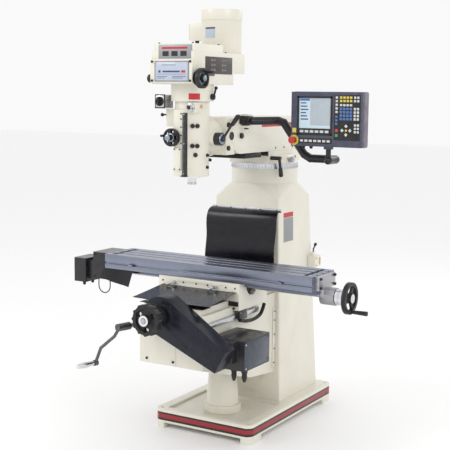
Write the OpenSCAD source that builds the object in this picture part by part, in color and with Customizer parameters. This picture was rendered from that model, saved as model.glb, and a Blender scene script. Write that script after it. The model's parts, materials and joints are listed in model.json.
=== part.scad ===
// Vertical knee mill with a turret head, a retrofitted three-axis drive and a control pendant.
// Frame: origin on the floor at the centre of the base's anchor holes, +X to the operator's right,
// +Y to the back, +Z up. All sizes are in millimetres, drawn in the rest pose.

/* [Base] */
// Width of the base casting
base_w = 600; // [540:5:720]
// Depth of the base casting
base_d = 980; // [900:5:1180]
// Height of the base's rim
base_h = 105; // [90:1:126]
// Diameter of the anchor holes
anchor_d = 18; // [14:1:22]
// Distance from the base's edge to an anchor hole
anchor_inset = 32; // [28:1:38]

/* [Column] */
// Width of the column at its shoulders
column_w = 400; // [380:2:440]
// Depth of the column at its shoulders
column_d = 400; // [390:2:440]
// Height of the shoulders where the neck starts
column_z = 1317; // [1250:1:1580]
// Diameter of the round neck and of the turret
neck_d = 374; // [360:1:390]
// Height of the neck above the shoulders
neck_h = 78; // [60:1:100]
// Wall of the hollow column
column_wall = 22; // [18:1:26]

/* [Knee and saddle] */
// Width of the knee casting
knee_w = 380; // [360:2:400]
// Height of the knee's top ways above the floor at rest
knee_z = 752; // [720:1:780]
// Reach of the knee in front of the column
knee_reach = 744; // [700:1:800]
// Diameter of the knee's elevating screw
knee_screw_d = 38; // [32:1:44]
// Length of the saddle along Y
saddle_l = 300; // [280:2:320]
// Height of the saddle between the knee's ways and the table
saddle_h = 92; // [88:1:100]
// Diameter of the ball screws
screw_d = 25; // [20:1:28]

/* [Table] */
// Length of the table
table_l = 1270; // [1060:5:1520]
// Width of the table
table_w = 254; // [240:2:280]
// Thickness of the table
table_t = 79; // [70:1:90]
// Width of a T-slot's mouth
slot_w = 16; // [12:1:18]
// Distance between T-slots
slot_pitch = 63.5; // [55:0.5:70]

/* [Ram and head] */
// Width of the ram
ram_w = 250; // [230:2:260]
// Height of the ram
ram_h = 188; // [170:2:200]
// Distance from the spindle's axis to the column's face
throat = 560; // [540:1:600]
// Diameter of the quill
quill_d = 86; // [76:1:90]
// Travel of the quill
quill_travel = 127; // [100:1:130]
// Diameter of the spindle's nose
nose_d = 45; // [40:1:50]
// Diameter of the spindle motor
motor_d = 214; // [190:2:230]
// Width of the belt housing
housing_w = 244; // [220:2:260]

/* [Control pendant] */
// Width of the pendant
pendant_w = 385; // [340:5:400]
// Height of the pendant
pendant_h = 269; // [240:1:300]
// Depth of the pendant
pendant_d = 85; // [70:1:90]

/* [Handwheels] */
// Diameter of the table's and the saddle's handwheels
wheel_d = 160; // [140:2:170]
// Length of the knee's crank arm
crank_r = 204; // [180:1:215]

/* [Hidden] */
$fn = 64;

// Colours of the finishes
cream = [0.90, 0.88, 0.80];
black = [0.08, 0.08, 0.09];
navy = [0.13, 0.14, 0.20];
steel = [0.62, 0.65, 0.72];
bronze = [0.70, 0.52, 0.30];
red = [0.75, 0.10, 0.12];

// Clearances: sliding faces, running shafts, and the overlap that makes a cut pass a face
gap = 0.3;
run = 0.05;
cut = 1;

// Base
arch_h = 30;
base_wall = 60;
base_r = 40;
trough_z = base_h - 13;
trough_back = -60;
plate_t = 32;
screw_pit_d = 64;

// Column
face_y = -35;
waist_z = column_z - 82;
column_foot_w = column_w + 56;
column_foot_d = column_d + 90;
column_cy = face_y + column_d / 2 + 2;
column_corner = 40;
face_corner = 10;
neck_z = column_z + neck_h;
spigot_d = 240;
rail_w = 230;
rail_root = 190;
rail_t = 27;
rail_z0 = base_h + 60;
rail_z1 = waist_z - 72;
pad_y = 305;
pad_z = 815;
pad_w = 79;
pad_h = 76;
pad_x = column_w / 2 + 12;

// Pedestal and elevating screw
screw_y = face_y - 238;
pedestal_z = knee_z - 267;
pedestal_bore = knee_screw_d + 4;
nut_flange_t = 15;
nut_l = 60;
gear_z = knee_z - 114;
crank_z = knee_z - 92;
crank_turn = 14;
crank_shaft_d = 24;
crank_t = 720;
crank_step = 78;
crank_angle = -117;
pinion_r = 22;
gear_r = 44;

// Knee: the top rail carries the saddle, the slot holds the screw of the Y axis
knee_back = face_y - gap;
knee_front = face_y - knee_reach;
knee_rail_w = 330;
knee_rail_h = 30;
knee_slot_w = 120;
knee_slot_h = 58;
knee_wall = 25;
knee_roof = knee_z - 66;
rib_z = knee_z - 162;
rib_t = 25;
rib_w = 140;
y_axis_z = knee_z - 30;

// Saddle and table
table_y = face_y - 330;
table_z0 = knee_z + saddle_h;
table_z = table_z0 + table_t;
saddle_y0 = table_y - saddle_l / 2 + 15;
saddle_y1 = saddle_y0 + saddle_l;
saddle_left = knee_w / 2 + 75;
saddle_right = knee_w / 2 + 38;
saddle_drop = 47;
tongue_t = 22;
tongue_w = 140;
tongue_foot = 160;
tunnel_w = 60;
x_axis_z = table_z0 - 32;
lock_z = table_z0 - 28;
table_end = table_l / 2;

// Drive of the Y axis: belt guard, pulleys and motor
guard_y0 = knee_front - 100;
motor_dx = 295;
motor_dz = -160;
guard_big_r = 97;
guard_small_r = 61;
y_pulley_r = 70;
y_motor_x = [knee_w / 2 + 15, knee_w / 2 + 210];
y_motor_y = [knee_front + 50, knee_front + 300];
y_motor_z = [knee_z - 288, knee_z - 136];
wheel_y = knee_front - 223;
wheel_t = 34;

// Ram, adapter and head
turret_y = column_cy;
turret_z = neck_z + 75;
rail_h = 26;
ram_z0 = turret_z + rail_h;
axis_z = ram_z0 + ram_h / 2;
nose_r = ram_h / 2;
spindle_y = face_y - throat;
nod_y = spindle_y + 275;
flange_y = spindle_y + 125;
flange_r = 105;
ram_back = turret_y + 183;
turret_front = turret_y - 182;
pinion_y = turret_y - 37;
ram_pinion_r = 22;
tongue_half = 40;

// Heights in the head, from the ram's axis
quill_z0 = axis_z - 205;
head_z0 = axis_z - 197;
head_z1 = axis_z + 177;
gearbox_z1 = head_z1 + 83;
housing_z1 = gearbox_z1 + 158;
crown_z1 = housing_z1 + 37;
spindle_z0 = axis_z - 240;
motor_z1 = housing_z1 + 226;
motor_y = spindle_y + 275;
panel_t = 15;
housing_front = spindle_y - 180;
housing_wall = 12;
belt_z = gearbox_z1 + 104;
belt_w = 30;
belt_t = 8;
motor_groove_r = 50;
spindle_groove_r = 68;
lever_y = spindle_y + 17 + quill_d / 2;
lever_z = axis_z - 10;
quill_pinion_r = 22;
lever_x = 138;
lever_l = 150;

// Pendant and its arm
arm_pivot = [ram_w / 2 + 30, nod_y + 2, axis_z + 78];
arm_r = 21;
pendant_x = 422;
pendant_y = spindle_y + 255;
pendant_z = axis_z - 39;
post_x = pendant_x + 193;
post_y = pendant_y + 43;
arm_rear = pendant_y + pendant_d + 43;
arm_low = pendant_z - 69;

// a step of length t to the right of a direction d
function offset_by(d, t) = [d[1], -d[0]] * t / norm(d);

// Box between two corners
module slab(x, y, z) {
  translate([x[0], y[0], z[0]]) cube([x[1] - x[0], y[1] - y[0], z[1] - z[0]]);
}

// Box with rounded upright edges
module rslab(x, y, z, r) {
  slab([x[0] + r, x[1] - r], y, z);
  slab(x, [y[0] + r, y[1] - r], z);
  for (cx = [x[0] + r, x[1] - r], cy = [y[0] + r, y[1] - r]) zrod(cx, cy, z, r);
}

// Rods along the three axes; the last argument is the radius
module zrod(x, y, z, r) {
  translate([x, y, z[0]]) cylinder(h = z[1] - z[0], r = r);
}
module xrod(x, y, z, r) {
  translate([x[0], y, z]) rotate([0, 90, 0]) cylinder(h = x[1] - x[0], r = r);
}
module yrod(x, y, z, r) {
  translate([x, y[1], z]) rotate([90, 0, 0]) cylinder(h = y[1] - y[0], r = r);
}

// Rod between two points
module rod(a, b, r) {
  d = b - a;
  l = norm(d);
  translate(a) rotate([0, acos(d[2] / l), atan2(d[1], d[0])]) cylinder(h = l, r = r);
}

// Outline in the XZ plane, drawn out along Y, and one in the YZ plane, drawn out along X
module along_y(y) {
  translate([0, y[1], 0]) rotate([90, 0, 0]) linear_extrude(y[1] - y[0]) children();
}
module along_x(x) {
  translate([x[0], 0, 0]) rotate([90, 0, 90]) linear_extrude(x[1] - x[0]) children();
}

// Dovetail as an outline: half widths at two levels, grown on all sides by g
module dovetail(w0, w1, z0, z1, g) {
  polygon([[-w0 / 2 - g, z0], [w0 / 2 + g, z0], [w1 / 2 + g, z1], [-w1 / 2 - g, z1]]);
}

// Turned frame of the knee's crank: local +Z runs out of the knee along the shaft
module on_crank() {
  translate([0, screw_y, crank_z]) rotate([90, 0, -crank_turn]) children();
}

module base() color(cream) {
  hx = base_w / 2 - anchor_inset;
  hy = base_d / 2 - anchor_inset;
  difference() {
    rslab([-base_w / 2, base_w / 2], [-base_d / 2, base_d / 2], [0, base_h], base_r);
    slab([-base_w / 2 + base_wall, base_w / 2 - base_wall],
         [-base_d / 2 + base_wall, base_d / 2 - base_wall], [-cut, trough_z - plate_t]);
    slab([-base_w / 2 + base_wall, base_w / 2 - base_wall],
         [-base_d / 2 - cut, base_d / 2 + cut], [-cut, arch_h]);
    slab([-base_w / 2 - cut, base_w / 2 + cut],
         [-base_d / 2 + 2 * base_wall, base_d / 2 - 2 * base_wall], [-cut, arch_h]);
    slab([-base_w / 2 + base_wall, base_w / 2 - base_wall],
         [-base_d / 2 + base_wall - 15, trough_back], [trough_z, base_h + cut]);
    zrod(0, screw_y, [0, base_h], screw_pit_d / 2);
    for (x = [-hx, hx], y = [-hy, hy]) zrod(x, y, [-cut, base_h + cut], anchor_d / 2);
  }
}

// Four upright rods whose hull is one level of the column
module column_level(w, d, z, inset) {
  for (s = [-1, 1]) {
    zrod(s * (w / 2 - face_corner - inset), face_y + face_corner + inset, [z, z + 2], face_corner);
    zrod(s * (w / 2 - column_corner - inset), face_y + d - column_corner - inset, [z, z + 2],
         column_corner);
  }
}

module column() color(cream) {
  difference() {
    union() {
      hull() {
        column_level(column_foot_w, column_foot_d, base_h, 0, $fn = 32);
        column_level(column_w, column_d, waist_z, 0, $fn = 32);
      }
      hull() {
        column_level(column_w, column_d, waist_z, 0, $fn = 32);
        translate([0, turret_y, column_z - 2]) cylinder(h = 2, r = neck_d / 2 - 4, $fn = 48);
      }
      zrod(0, turret_y, [column_z - 2, neck_z], neck_d / 2);
      slab([0, pad_x], [pad_y, pad_y + pad_w], [pad_z, pad_z + pad_h]);
      translate([0, 0, rail_z0]) linear_extrude(rail_z1 - rail_z0)
        polygon([[-rail_root / 2, face_y + cut], [-rail_root / 2, face_y], [-rail_w / 2, face_y - rail_t],
                 [rail_w / 2, face_y - rail_t], [rail_root / 2, face_y], [rail_root / 2, face_y + cut]]);
    }
    hull() {
      column_level(column_foot_w, column_foot_d, base_h - 2, column_wall, $fn = 32);
      column_level(column_w, column_d, waist_z - column_wall, column_wall, $fn = 32);
    }
    zrod(0, turret_y, [neck_z - 50, neck_z + cut], spigot_d / 2);
  }
}

module pedestal() color(cream) {
  difference() {
    union() {
      zrod(0, screw_y, [trough_z, trough_z + 40], 103);
      translate([0, screw_y, trough_z + 40])
        rotate(22.5) cylinder(h = pedestal_z - trough_z - 40, r1 = 90, r2 = 62, $fn = 8);
    }
    zrod(0, screw_y, [0, pedestal_z + cut], pedestal_bore / 2);
    zrod(0, screw_y, [pedestal_z - nut_l, pedestal_z + cut], knee_screw_d / 2 + 11);
  }
}

module knee_nut() color(bronze) {
  difference() {
    union() {
      zrod(0, screw_y, [pedestal_z, pedestal_z + nut_flange_t], 48);
      zrod(0, screw_y, [pedestal_z - nut_l + gap, pedestal_z], knee_screw_d / 2 + 11 - gap);
    }
    zrod(0, screw_y, [0, knee_z], knee_screw_d / 2 + run);
  }
}

module lubricator() color(cream) {
  y0 = pad_y + 2;
  difference() {
    union() {
      rslab([pad_x, pad_x + 52], [y0, y0 + 75], [pad_z + 4, pad_z + 70], 6);
      zrod(pad_x + 26, y0 + 24, [pad_z + 70, pad_z + 92], 13);
    }
    zrod(pad_x + 26, y0 + 24, [pad_z + 60, pad_z + 93], 4 + run);
  }
}

module lubricator_lever() color(black) {
  x = pad_x + 26;
  y = pad_y + 26;
  zrod(x, y, [pad_z + 62, pad_z + 110], 4);
  rod([x, y, pad_z + 108], [x, y + 26, pad_z + 128], 4);
  translate([x, y, pad_z + 108]) sphere(4);
}

// Rubber sheet from the column's clamp strip down behind the saddle, drawn as a thin profile
module rear_way_cover() color(black) {
  t = 3;
  top = rail_z1 + 14;
  drop = top - knee_z - 62;
  hang = [for (p = [[0, 0], [32, 0.02], [56, 0.09], [70, 0.26], [76, 0.48], [80, 0.84], [112, 1]])
            [face_y - p[0], top - p[1] * drop]];
  route = concat(hang, [[saddle_y1 + 4, knee_z + 52]]);
  n = len(route) - 1;
  inner = [for (i = [n:-1:0]) route[i] + offset_by(route[min(i + 1, n)] - route[max(i - 1, 0)], t)];
  along_x([-220, 220]) polygon(concat(route, inner));
}

module turret() color(cream) {
  difference() {
    union() {
      zrod(0, turret_y, [neck_z + gap, neck_z + 34], neck_d / 2);
      translate([0, turret_y, neck_z + 34])
        cylinder(h = turret_z - neck_z - 34, r1 = neck_d / 2, r2 = neck_d / 2 - 26);
      slab([-ram_w / 2, ram_w / 2], [turret_front, turret_y + 183], [neck_z + 34, ram_z0 - gap]);
      zrod(0, turret_y, [neck_z - 40, neck_z + gap], spigot_d / 2 - run);
    }
    along_y([turret_front - cut, ram_back + 200])
      dovetail(170, 150, turret_z, ram_z0 + cut, gap);
    slab([-30, 30], [pinion_y - 26, pinion_y + 26], [turret_z - 50, turret_z + cut]);
    xrod([-40, 200], pinion_y, turret_z - ram_pinion_r - gap, 10 + run);
    xrod([ram_w / 2 - 40, 200], turret_front + 25, turret_z - 12, 8 + run);
    zrod(0, turret_y, [neck_z - 41, neck_z + 20], 60);
  }
}

module ram_lock_lever() color(black) {
  y = turret_front + 25;
  z = turret_z - 12;
  xrod([ram_w / 2 - 39, ram_w / 2 + 56], y, z, 8);
  xrod([ram_w / 2 + 2, ram_w / 2 + 60], y, z, 11);
  rod([ram_w / 2 + 52, y, z], [ram_w / 2 + 52, y + 22, z - 96], 8);
}

module ram_pinion() color(steel) {
  z = turret_z - ram_pinion_r - gap;
  xrod([-39, neck_d / 2 + 5], pinion_y, z, 10);
  xrod([-25, 25], pinion_y, z, ram_pinion_r);
  translate([neck_d / 2 - 2, pinion_y, z]) rotate([0, 90, 0]) cylinder(h = 18, r = 17, $fn = 6);
}

module ram() color(cream) {
  w = ram_w / 2;
  difference() {
    union() {
      slab([-w, w], [nod_y, ram_back], [ram_z0, ram_z0 + ram_h]);
      xrod([-w, w], nod_y, axis_z, nose_r);
      along_y([nod_y + 58, ram_back]) dovetail(170, 150, turret_z + gap, ram_z0, 0);
    }
    slab([-w + 25, w - 25], [nod_y + 130, ram_back + cut], [ram_z0 + 24, ram_z0 + ram_h - 24]);
    slab([-tongue_half - gap, tongue_half + gap], [nod_y - nose_r - cut, nod_y + 45],
         [ram_z0 - cut, ram_z0 + ram_h + cut]);
    xrod([-w - cut, w + cut], nod_y, axis_z, 15 + run);
  }
  difference() {
    union() {
      slab([w, w + 8], [arm_pivot[1] - 27, arm_pivot[1] + 27], [axis_z + 42, axis_z + 112]);
      for (z = [axis_z + 42, axis_z + 100])
        slab([w + 8, w + 50], [arm_pivot[1] - 20, arm_pivot[1] + 20], [z, z + 12]);
    }
    zrod(arm_pivot[0], arm_pivot[1], [axis_z, axis_z + 120], 10 + run);
  }
}

module ram_adapter() color(cream) {
  w = ram_w / 2;
  reach = nose_r * sin(45);
  difference() {
    union() {
      slab([-w, w], [flange_y - 0, nod_y - reach], [axis_z - nose_r, axis_z + nose_r]);
      yrod(0, [flange_y, flange_y + 15], axis_z, flange_r);
    }
    xrod([-w - cut, w + cut], nod_y, axis_z, nose_r + gap);
  }
  difference() {
    union() {
      slab([-tongue_half, tongue_half], [flange_y + 20, nod_y], [axis_z - 38, axis_z + 38]);
      xrod([-tongue_half, tongue_half], nod_y, axis_z, 38);
    }
    xrod([-w, w], nod_y, axis_z, 15 + run);
  }
  yrod(0, [flange_y - 30, flange_y], axis_z, 50);
}

module adapter_bolts() color(black) {
  w = ram_w / 2;
  xrod([-w, w], nod_y, axis_z, 15);
  for (s = [-1, 1]) {
    translate([s > 0 ? w : -w - 10, nod_y, axis_z]) rotate([0, 90, 0]) cylinder(h = 10, r = 15, $fn = 6);
    for (u = [-59, 59])
      translate([s > 0 ? w : -w - 10, flange_y + 16, axis_z + u])
        rotate([0, 90, 0]) cylinder(h = 10, r = 13, $fn = 6);
  }
}

module head_housing() color(cream) {
  w = 86;
  difference() {
    union() {
      zrod(0, spindle_y, [head_z0, head_z1], w);
      yrod(0, [flange_y - 20, flange_y - gap], axis_z, flange_r);
      translate([0, spindle_y + 30, axis_z]) rotate([-90, 0, 0])
        cylinder(h = flange_y - 20 - spindle_y - 30, r1 = 78, r2 = flange_r);
      slab([-48, 36], [spindle_y - 95, spindle_y], [head_z0 + 2, head_z0 + 332]);
      rslab([30, 80], [spindle_y - 95, spindle_y], [axis_z + 122, axis_z + 172], 8);
      rslab([-130, -40], [spindle_y - 55, spindle_y + 55], [axis_z + 50, axis_z + 138], 20);
      rslab([-75, -30], [spindle_y - 75, spindle_y], [axis_z - 45, axis_z + 45], 12);
      xrod([-60, 106], lever_y, lever_z, 34);
    }
    zrod(0, spindle_y, [head_z0 - cut, head_z1 + cut], quill_d / 2 + run);
    xrod([-13, 13], lever_y, lever_z, quill_pinion_r + 2);
    xrod([-60 - cut, 107], lever_y, lever_z, 9 + run);
    yrod(0, [flange_y - 31, flange_y], axis_z, 50 + run);
    xrod([-131, -110], spindle_y - 5, axis_z + 108, 6 + run);
    yrod(-52, [spindle_y - 96, spindle_y - 56], axis_z - 2, 8 + run);
    yrod(55, [spindle_y - 96, spindle_y - 75], axis_z + 148, 6 + run);
  }
}

module gear_housing() color(cream) {
  difference() {
    zrod(0, spindle_y, [head_z1, gearbox_z1], 108);
    zrod(0, spindle_y, [head_z1 - cut, gearbox_z1 - 12], 62);
    zrod(0, spindle_y, [head_z1 - cut, gearbox_z1 + cut], 25 + run);
    slab([-120, -100], [spindle_y - 60, spindle_y + 60], [gearbox_z1 - 120, gearbox_z1 - 50]);
    slab([104, 120], [spindle_y - 40, spindle_y + 40], [gearbox_z1 - 90, gearbox_z1 - 30]);
    xrod([88, 110], spindle_y + 15, gearbox_z1 - 60, 6 + run);
  }
}

// Plan outline of the belt housing, shrunk by g: flat front, round end about the motor
module housing_plan(g) {
  translate([-housing_w / 2 + g, housing_front + g])
    square([housing_w - 2 * g, motor_y - housing_front - g]);
  translate([0, motor_y]) circle(housing_w / 2 - g);
}

module belt_housing() color(cream) {
  difference() {
    union() {
      translate([0, 0, gearbox_z1 + 60]) linear_extrude(housing_z1 - gearbox_z1 - 60) housing_plan(0);
      translate([0, 0, gearbox_z1]) linear_extrude(60) difference() {
        housing_plan(0);
        translate([-housing_w, motor_y - 80]) square([2 * housing_w, housing_w]);
      }
      rslab([-118, 118], [housing_front + 6, spindle_y + 110], [housing_z1, crown_z1], 20);
    }
    translate([0, 0, gearbox_z1 + 60 + housing_wall])
      linear_extrude(housing_z1 - gearbox_z1 - 60 - 2 * housing_wall) housing_plan(housing_wall);
    translate([0, 0, gearbox_z1 + housing_wall]) linear_extrude(housing_z1 - gearbox_z1 - 2 * housing_wall)
      difference() {
        housing_plan(housing_wall);
        translate([-housing_w, motor_y - 80 - housing_wall]) square([2 * housing_wall + 2 * housing_w, housing_w]);
      }
    rslab([-106, 106], [housing_front + 18, spindle_y + 98], [housing_z1 - 2 * housing_wall, crown_z1 - 12], 12);
    zrod(0, spindle_y, [gearbox_z1 - cut, gearbox_z1 + housing_wall + cut], 34);
    zrod(0, motor_y, [housing_z1 - 2 * housing_wall, housing_z1 + cut], 30);
    xrod([housing_w / 2 - housing_wall - cut, housing_w / 2 + cut], spindle_y - 153, gearbox_z1 + 29, 8 + run);
  }
}

module name_panel() color(cream) {
  rslab([-122, 122], [housing_front - panel_t, housing_front], [gearbox_z1 + 5, gearbox_z1 + 118], 5);
}

module motor() color(cream) {
  difference() {
    union() {
      zrod(0, motor_y, [housing_z1, motor_z1 - 54], motor_d / 2 - 3);
      zrod(0, motor_y, [motor_z1 - 54, motor_z1], motor_d / 2);
    }
    zrod(0, motor_y, [housing_z1 + 14, motor_z1 - 50], motor_d / 2 - 40);
    zrod(0, motor_y, [housing_z1 - cut, motor_z1 - 40], 12 + run);
  }
  difference() {
    rslab([-178, -80], [motor_y - 38, motor_y + 38], [housing_z1 + 72, housing_z1 + 162], 8);
    zrod(0, motor_y, [housing_z1, motor_z1], motor_d / 2 - 3);
  }
}

module motor_shaft() color(steel) {
  zrod(0, motor_y, [belt_z - 28, motor_z1 - 41], 12);
  zrod(0, motor_y, [housing_z1 + 20, motor_z1 - 60], motor_d / 2 - 44);
  zrod(0, motor_y, [belt_z - belt_w / 2 - gap, belt_z + belt_w / 2 + gap], motor_groove_r);
  for (z = [belt_z - belt_w / 2 - gap - 8, belt_z + belt_w / 2 + gap])
    zrod(0, motor_y, [z, z + 8], motor_groove_r + 12);
}

module spindle_pulley() color(steel) {
  difference() {
    union() {
      zrod(0, spindle_y, [head_z1 + 10, crown_z1 - 60], 25);
      zrod(0, spindle_y, [head_z1 + 14, head_z1 + 44], 55);
      zrod(0, spindle_y, [belt_z - belt_w / 2 - gap, belt_z + belt_w / 2 + gap], spindle_groove_r);
      for (z = [belt_z - belt_w / 2 - gap - 8, belt_z + belt_w / 2 + gap])
        zrod(0, spindle_y, [z, z + 8], spindle_groove_r + 12);
    }
    zrod(0, spindle_y, [head_z1, crown_z1], 16);
  }
}

module belt_outline(g) {
  hull() {
    translate([0, motor_y]) circle(motor_groove_r + gap + g);
    translate([0, spindle_y]) circle(spindle_groove_r + gap + g);
  }
}

module drive_belt() color(black) {
  translate([0, 0, belt_z - belt_w / 2]) linear_extrude(belt_w) difference() {
    belt_outline(belt_t);
    belt_outline(0);
  }
}

module spindle() color(steel) {
  difference() {
    union() {
      zrod(0, spindle_y, [spindle_z0, quill_z0 - gap], nose_d / 2);
      zrod(0, spindle_y, [quill_z0 - gap, head_z1 - 60], 20);
      zrod(0, spindle_y, [head_z1 - 60, crown_z1 - 56], 16 - run);
    }
    zrod(0, spindle_y, [spindle_z0 - cut, crown_z1], 8);
    zrod(0, spindle_y, [spindle_z0 - cut, spindle_z0 + 70], 12.05);
    translate([0, spindle_y, spindle_z0 - 0.01]) cylinder(h = 24, r1 = 15.9, r2 = 12.05);
  }
}

module drawbar() color(steel) {
  zrod(0, spindle_y, [spindle_z0 + 72, crown_z1 - 56], 6);
  translate([0, spindle_y, crown_z1 - 56]) cylinder(h = 16, r = 14, $fn = 6);
}

module spindle_bearings() color(steel) {
  for (z = [quill_z0 + 12, quill_z0 + 34, head_z1 - 130]) difference() {
    zrod(0, spindle_y, [z, z + 18], 34 - run);
    zrod(0, spindle_y, [z - cut, z + 19], 20 + run);
  }
}

module quill() color(steel) {
  difference() {
    zrod(0, spindle_y, [quill_z0, head_z1 - 67], quill_d / 2);
    zrod(0, spindle_y, [quill_z0 + 10, head_z1 - 66], 34);
    zrod(0, spindle_y, [quill_z0 - cut, quill_z0 + 11], 21);
    slab([-13, 13], [lever_y - quill_pinion_r - gap, spindle_y + quill_d],
         [quill_z0 + 40, head_z1]);
  }
  slab([-12, 12], [spindle_y + 34.5, lever_y - quill_pinion_r - gap], [quill_z0 + 41, head_z1 - 68]);
}

module quill_lever() color(black) {
  xrod([-60, lever_x], lever_y, lever_z, 9);
  xrod([-12, 12], lever_y, lever_z, quill_pinion_r);
  xrod([106 + gap, lever_x], lever_y, lever_z, 33);
  a = [lever_x + 6, lever_y, lever_z];
  xrod([lever_x, lever_x + 14], lever_y, lever_z, 14);
  tip = a + [26, lever_l * sin(40), lever_l * cos(40)];
  rod(a, tip, 6);
  rod(a + 0.6 * (tip - a), tip, 9);
}

module feed_wheel() color(black) {
  z = axis_z - 2;
  y = spindle_y - 76;
  yrod(-52, [y - 66, y + 18], z, 8);
  difference() {
    yrod(-52, [y - 42, y - 24], z, 45);
    for (a = [0:72:359]) yrod(-52 + 29 * cos(a), [y - 43, y - 23], z + 29 * sin(a), 9);
  }
  yrod(-52, [y - 70, y - 42], z, 16);
  rod([-52 - 38, y - 42, z + 8], [-52 - 38, y - 70, z + 8], 6);
}

module feed_lever() color(black) {
  z = axis_z + 108;
  y = spindle_y - 5;
  xrod([-146, -111], y, z, 6);
  rod([-140, y, z], [-140, y - 52, z], 4);
  translate([-140, y - 56, z]) sphere(9);
}

module speed_wheel() color(black) {
  x = housing_w / 2;
  y = spindle_y - 153;
  z = gearbox_z1 + 29;
  xrod([x - housing_wall, x + 46], y, z, 8);
  xrod([x + gap, x + 20], y, z, 28);
  difference() {
    xrod([x + 20, x + 42], y, z, 49);
    xrod([x + 28, x + 43], y, z, 38);
  }
  xrod([x + 28, x + 48], y, z, 20);
  rod([x + 42, y + 30, z + 30], [x + 76, y + 30, z + 30], 7);
}

module drum_switch() color(steel) {
  difference() {
    rslab([-158, -100], [spindle_y - 97, spindle_y - 20], [gearbox_z1 - 118, gearbox_z1 - 52], 5);
    yrod(-129, [spindle_y - 98, spindle_y - 80], gearbox_z1 - 85, 6 + run);
  }
}

module switch_knob() color(black) {
  z = gearbox_z1 - 85;
  yrod(-129, [spindle_y - 104, spindle_y - 81], z, 6);
  yrod(-129, [spindle_y - 104, spindle_y - 97 - gap], z, 24);
  slab([-134, -124], [spindle_y - 122, spindle_y - 104], [z - 20, z + 20]);
}

module range_lever() color(black) {
  y = spindle_y + 15;
  z = gearbox_z1 - 60;
  xrod([89, 122], y, z, 6);
  xrod([104 + gap, 118], y, z, 15);
  rod([116, y, z], [124, y + 8, z + 44], 5);
  translate([124, y + 8, z + 44]) sphere(9);
}

module feed_dial() color(steel) {
  yrod(55, [spindle_y - 95 - gap - 12, spindle_y - 76], axis_z + 148, 6);
  yrod(55, [spindle_y - 95 - gap - 12, spindle_y - 95 - gap], axis_z + 148, 22);
  yrod(55, [spindle_y - 95 - gap - 24, spindle_y - 95 - gap - 12], axis_z + 148, 11);
}

module depth_scale() color(black) {
  slab([12, 34], [spindle_y - 110, spindle_y - 95], [head_z0 + 10, head_z0 + 318]);
  slab([8, 38], [spindle_y - 118, spindle_y - 95], [head_z0 + 2, head_z0 + 10]);
}

// Bent tube of the pendant's arm, a rod and a ball for each leg
module pendant_arm() color(navy) {
  p = arm_pivot;
  route = [p + [20, 8, 0], [285, arm_rear, axis_z + 80], [318, arm_rear, axis_z + 70],
           [438, arm_rear, arm_low + 20], [475, arm_rear, arm_low], [post_x, arm_rear, arm_low],
           [post_x, post_y, arm_low]];
  zrod(p[0], p[1], [axis_z + 54 + gap, axis_z + 100 - gap], 19);
  zrod(p[0], p[1], [axis_z + 42, axis_z + 112], 10);
  for (i = [0:len(route) - 2]) rod(route[i], route[i + 1], arm_r);
  for (i = [1:len(route) - 1]) translate(route[i]) sphere(arm_r + 0.6);
  zrod(post_x, post_y, [arm_low, pendant_z + 18], 13);
}

module pendant() color(navy) {
  x1 = pendant_x + pendant_w;
  z1 = pendant_z + pendant_h;
  difference() {
    union() {
      rslab([pendant_x, x1], [pendant_y, pendant_y + pendant_d], [pendant_z, z1], 10);
      zrod(post_x, post_y, [pendant_z - 14, pendant_z], 24);
    }
    zrod(post_x, post_y, [pendant_z - 15, pendant_z + 20], 13 + run);
    slab([pendant_x + 44, pendant_x + 222], [pendant_y - cut, pendant_y + 4], [pendant_z + 62, z1 - 28]);
    yrod(pendant_x + 22, [pendant_y - cut, pendant_y + 31], pendant_z + 29, 8 + run);
  }
}

module estop_button() color(red) {
  x = pendant_x + 22;
  z = pendant_z + 29;
  yrod(x, [pendant_y - 30, pendant_y + 22], z, 8);
  yrod(x, [pendant_y - 32, pendant_y - 16], z, 18);
}

module knee() color(cream) {
  w = knee_w / 2;
  side = [[knee_back, knee_z - 479], [knee_back, knee_z - knee_rail_h], [knee_front, knee_z - knee_rail_h],
          [knee_front, knee_z - 305], [screw_y - 30, knee_z - 448]];
  difference() {
    union() {
      along_x([-w, w]) polygon(side);
      slab([-knee_rail_w / 2, knee_rail_w / 2], [knee_front, knee_back], [knee_z - knee_rail_h - cut, knee_z]);
      on_crank() zrod(0, 0, [crank_t - 215, crank_t - 160], 30);
    }
    slab([-w + knee_wall, w - knee_wall], [knee_front + 40, screw_y - rib_w / 2], [0, knee_roof]);
    slab([-w + knee_wall, w - knee_wall], [screw_y - rib_w / 2 - cut, face_y - 88], [0, rib_z]);
    slab([-w + knee_wall, w - knee_wall], [screw_y - rib_w / 2 - cut, face_y - 88], [rib_z + rib_t, knee_roof]);
    slab([-knee_slot_w / 2, knee_slot_w / 2], [knee_front + 40, face_y - 60], [knee_z - knee_slot_h, knee_z + cut]);
    yrod(0, [knee_front - cut, knee_front + 41], y_axis_z, screw_d / 2 + run);
    zrod(0, screw_y, [rib_z - cut, rib_z + rib_t + cut], knee_screw_d / 2 - 4 + run);
    on_crank() zrod(0, 0, [30, crank_t], crank_shaft_d / 2 + run);
    translate([0, 0, -cut]) linear_extrude(knee_z + 2 * cut)
      polygon([[-rail_root / 2 - gap, knee_back + cut], [-rail_root / 2 - gap, knee_back],
               [-rail_w / 2 - gap, face_y - rail_t - gap], [rail_w / 2 + gap, face_y - rail_t - gap],
               [rail_root / 2 + gap, knee_back], [rail_root / 2 + gap, knee_back + cut]]);
  }
}

module knee_screw() color(steel) {
  zrod(0, screw_y, [base_h + 10, rib_z - gap], knee_screw_d / 2);
  zrod(0, screw_y, [rib_z - gap, gear_z], knee_screw_d / 2 - 4);
  zrod(0, screw_y, [rib_z + rib_t, gear_z - 16], 40);
  translate([0, screw_y, gear_z - 16]) cylinder(h = 16 - gap, r1 = gear_r + 12, r2 = gear_r);
}

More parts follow.
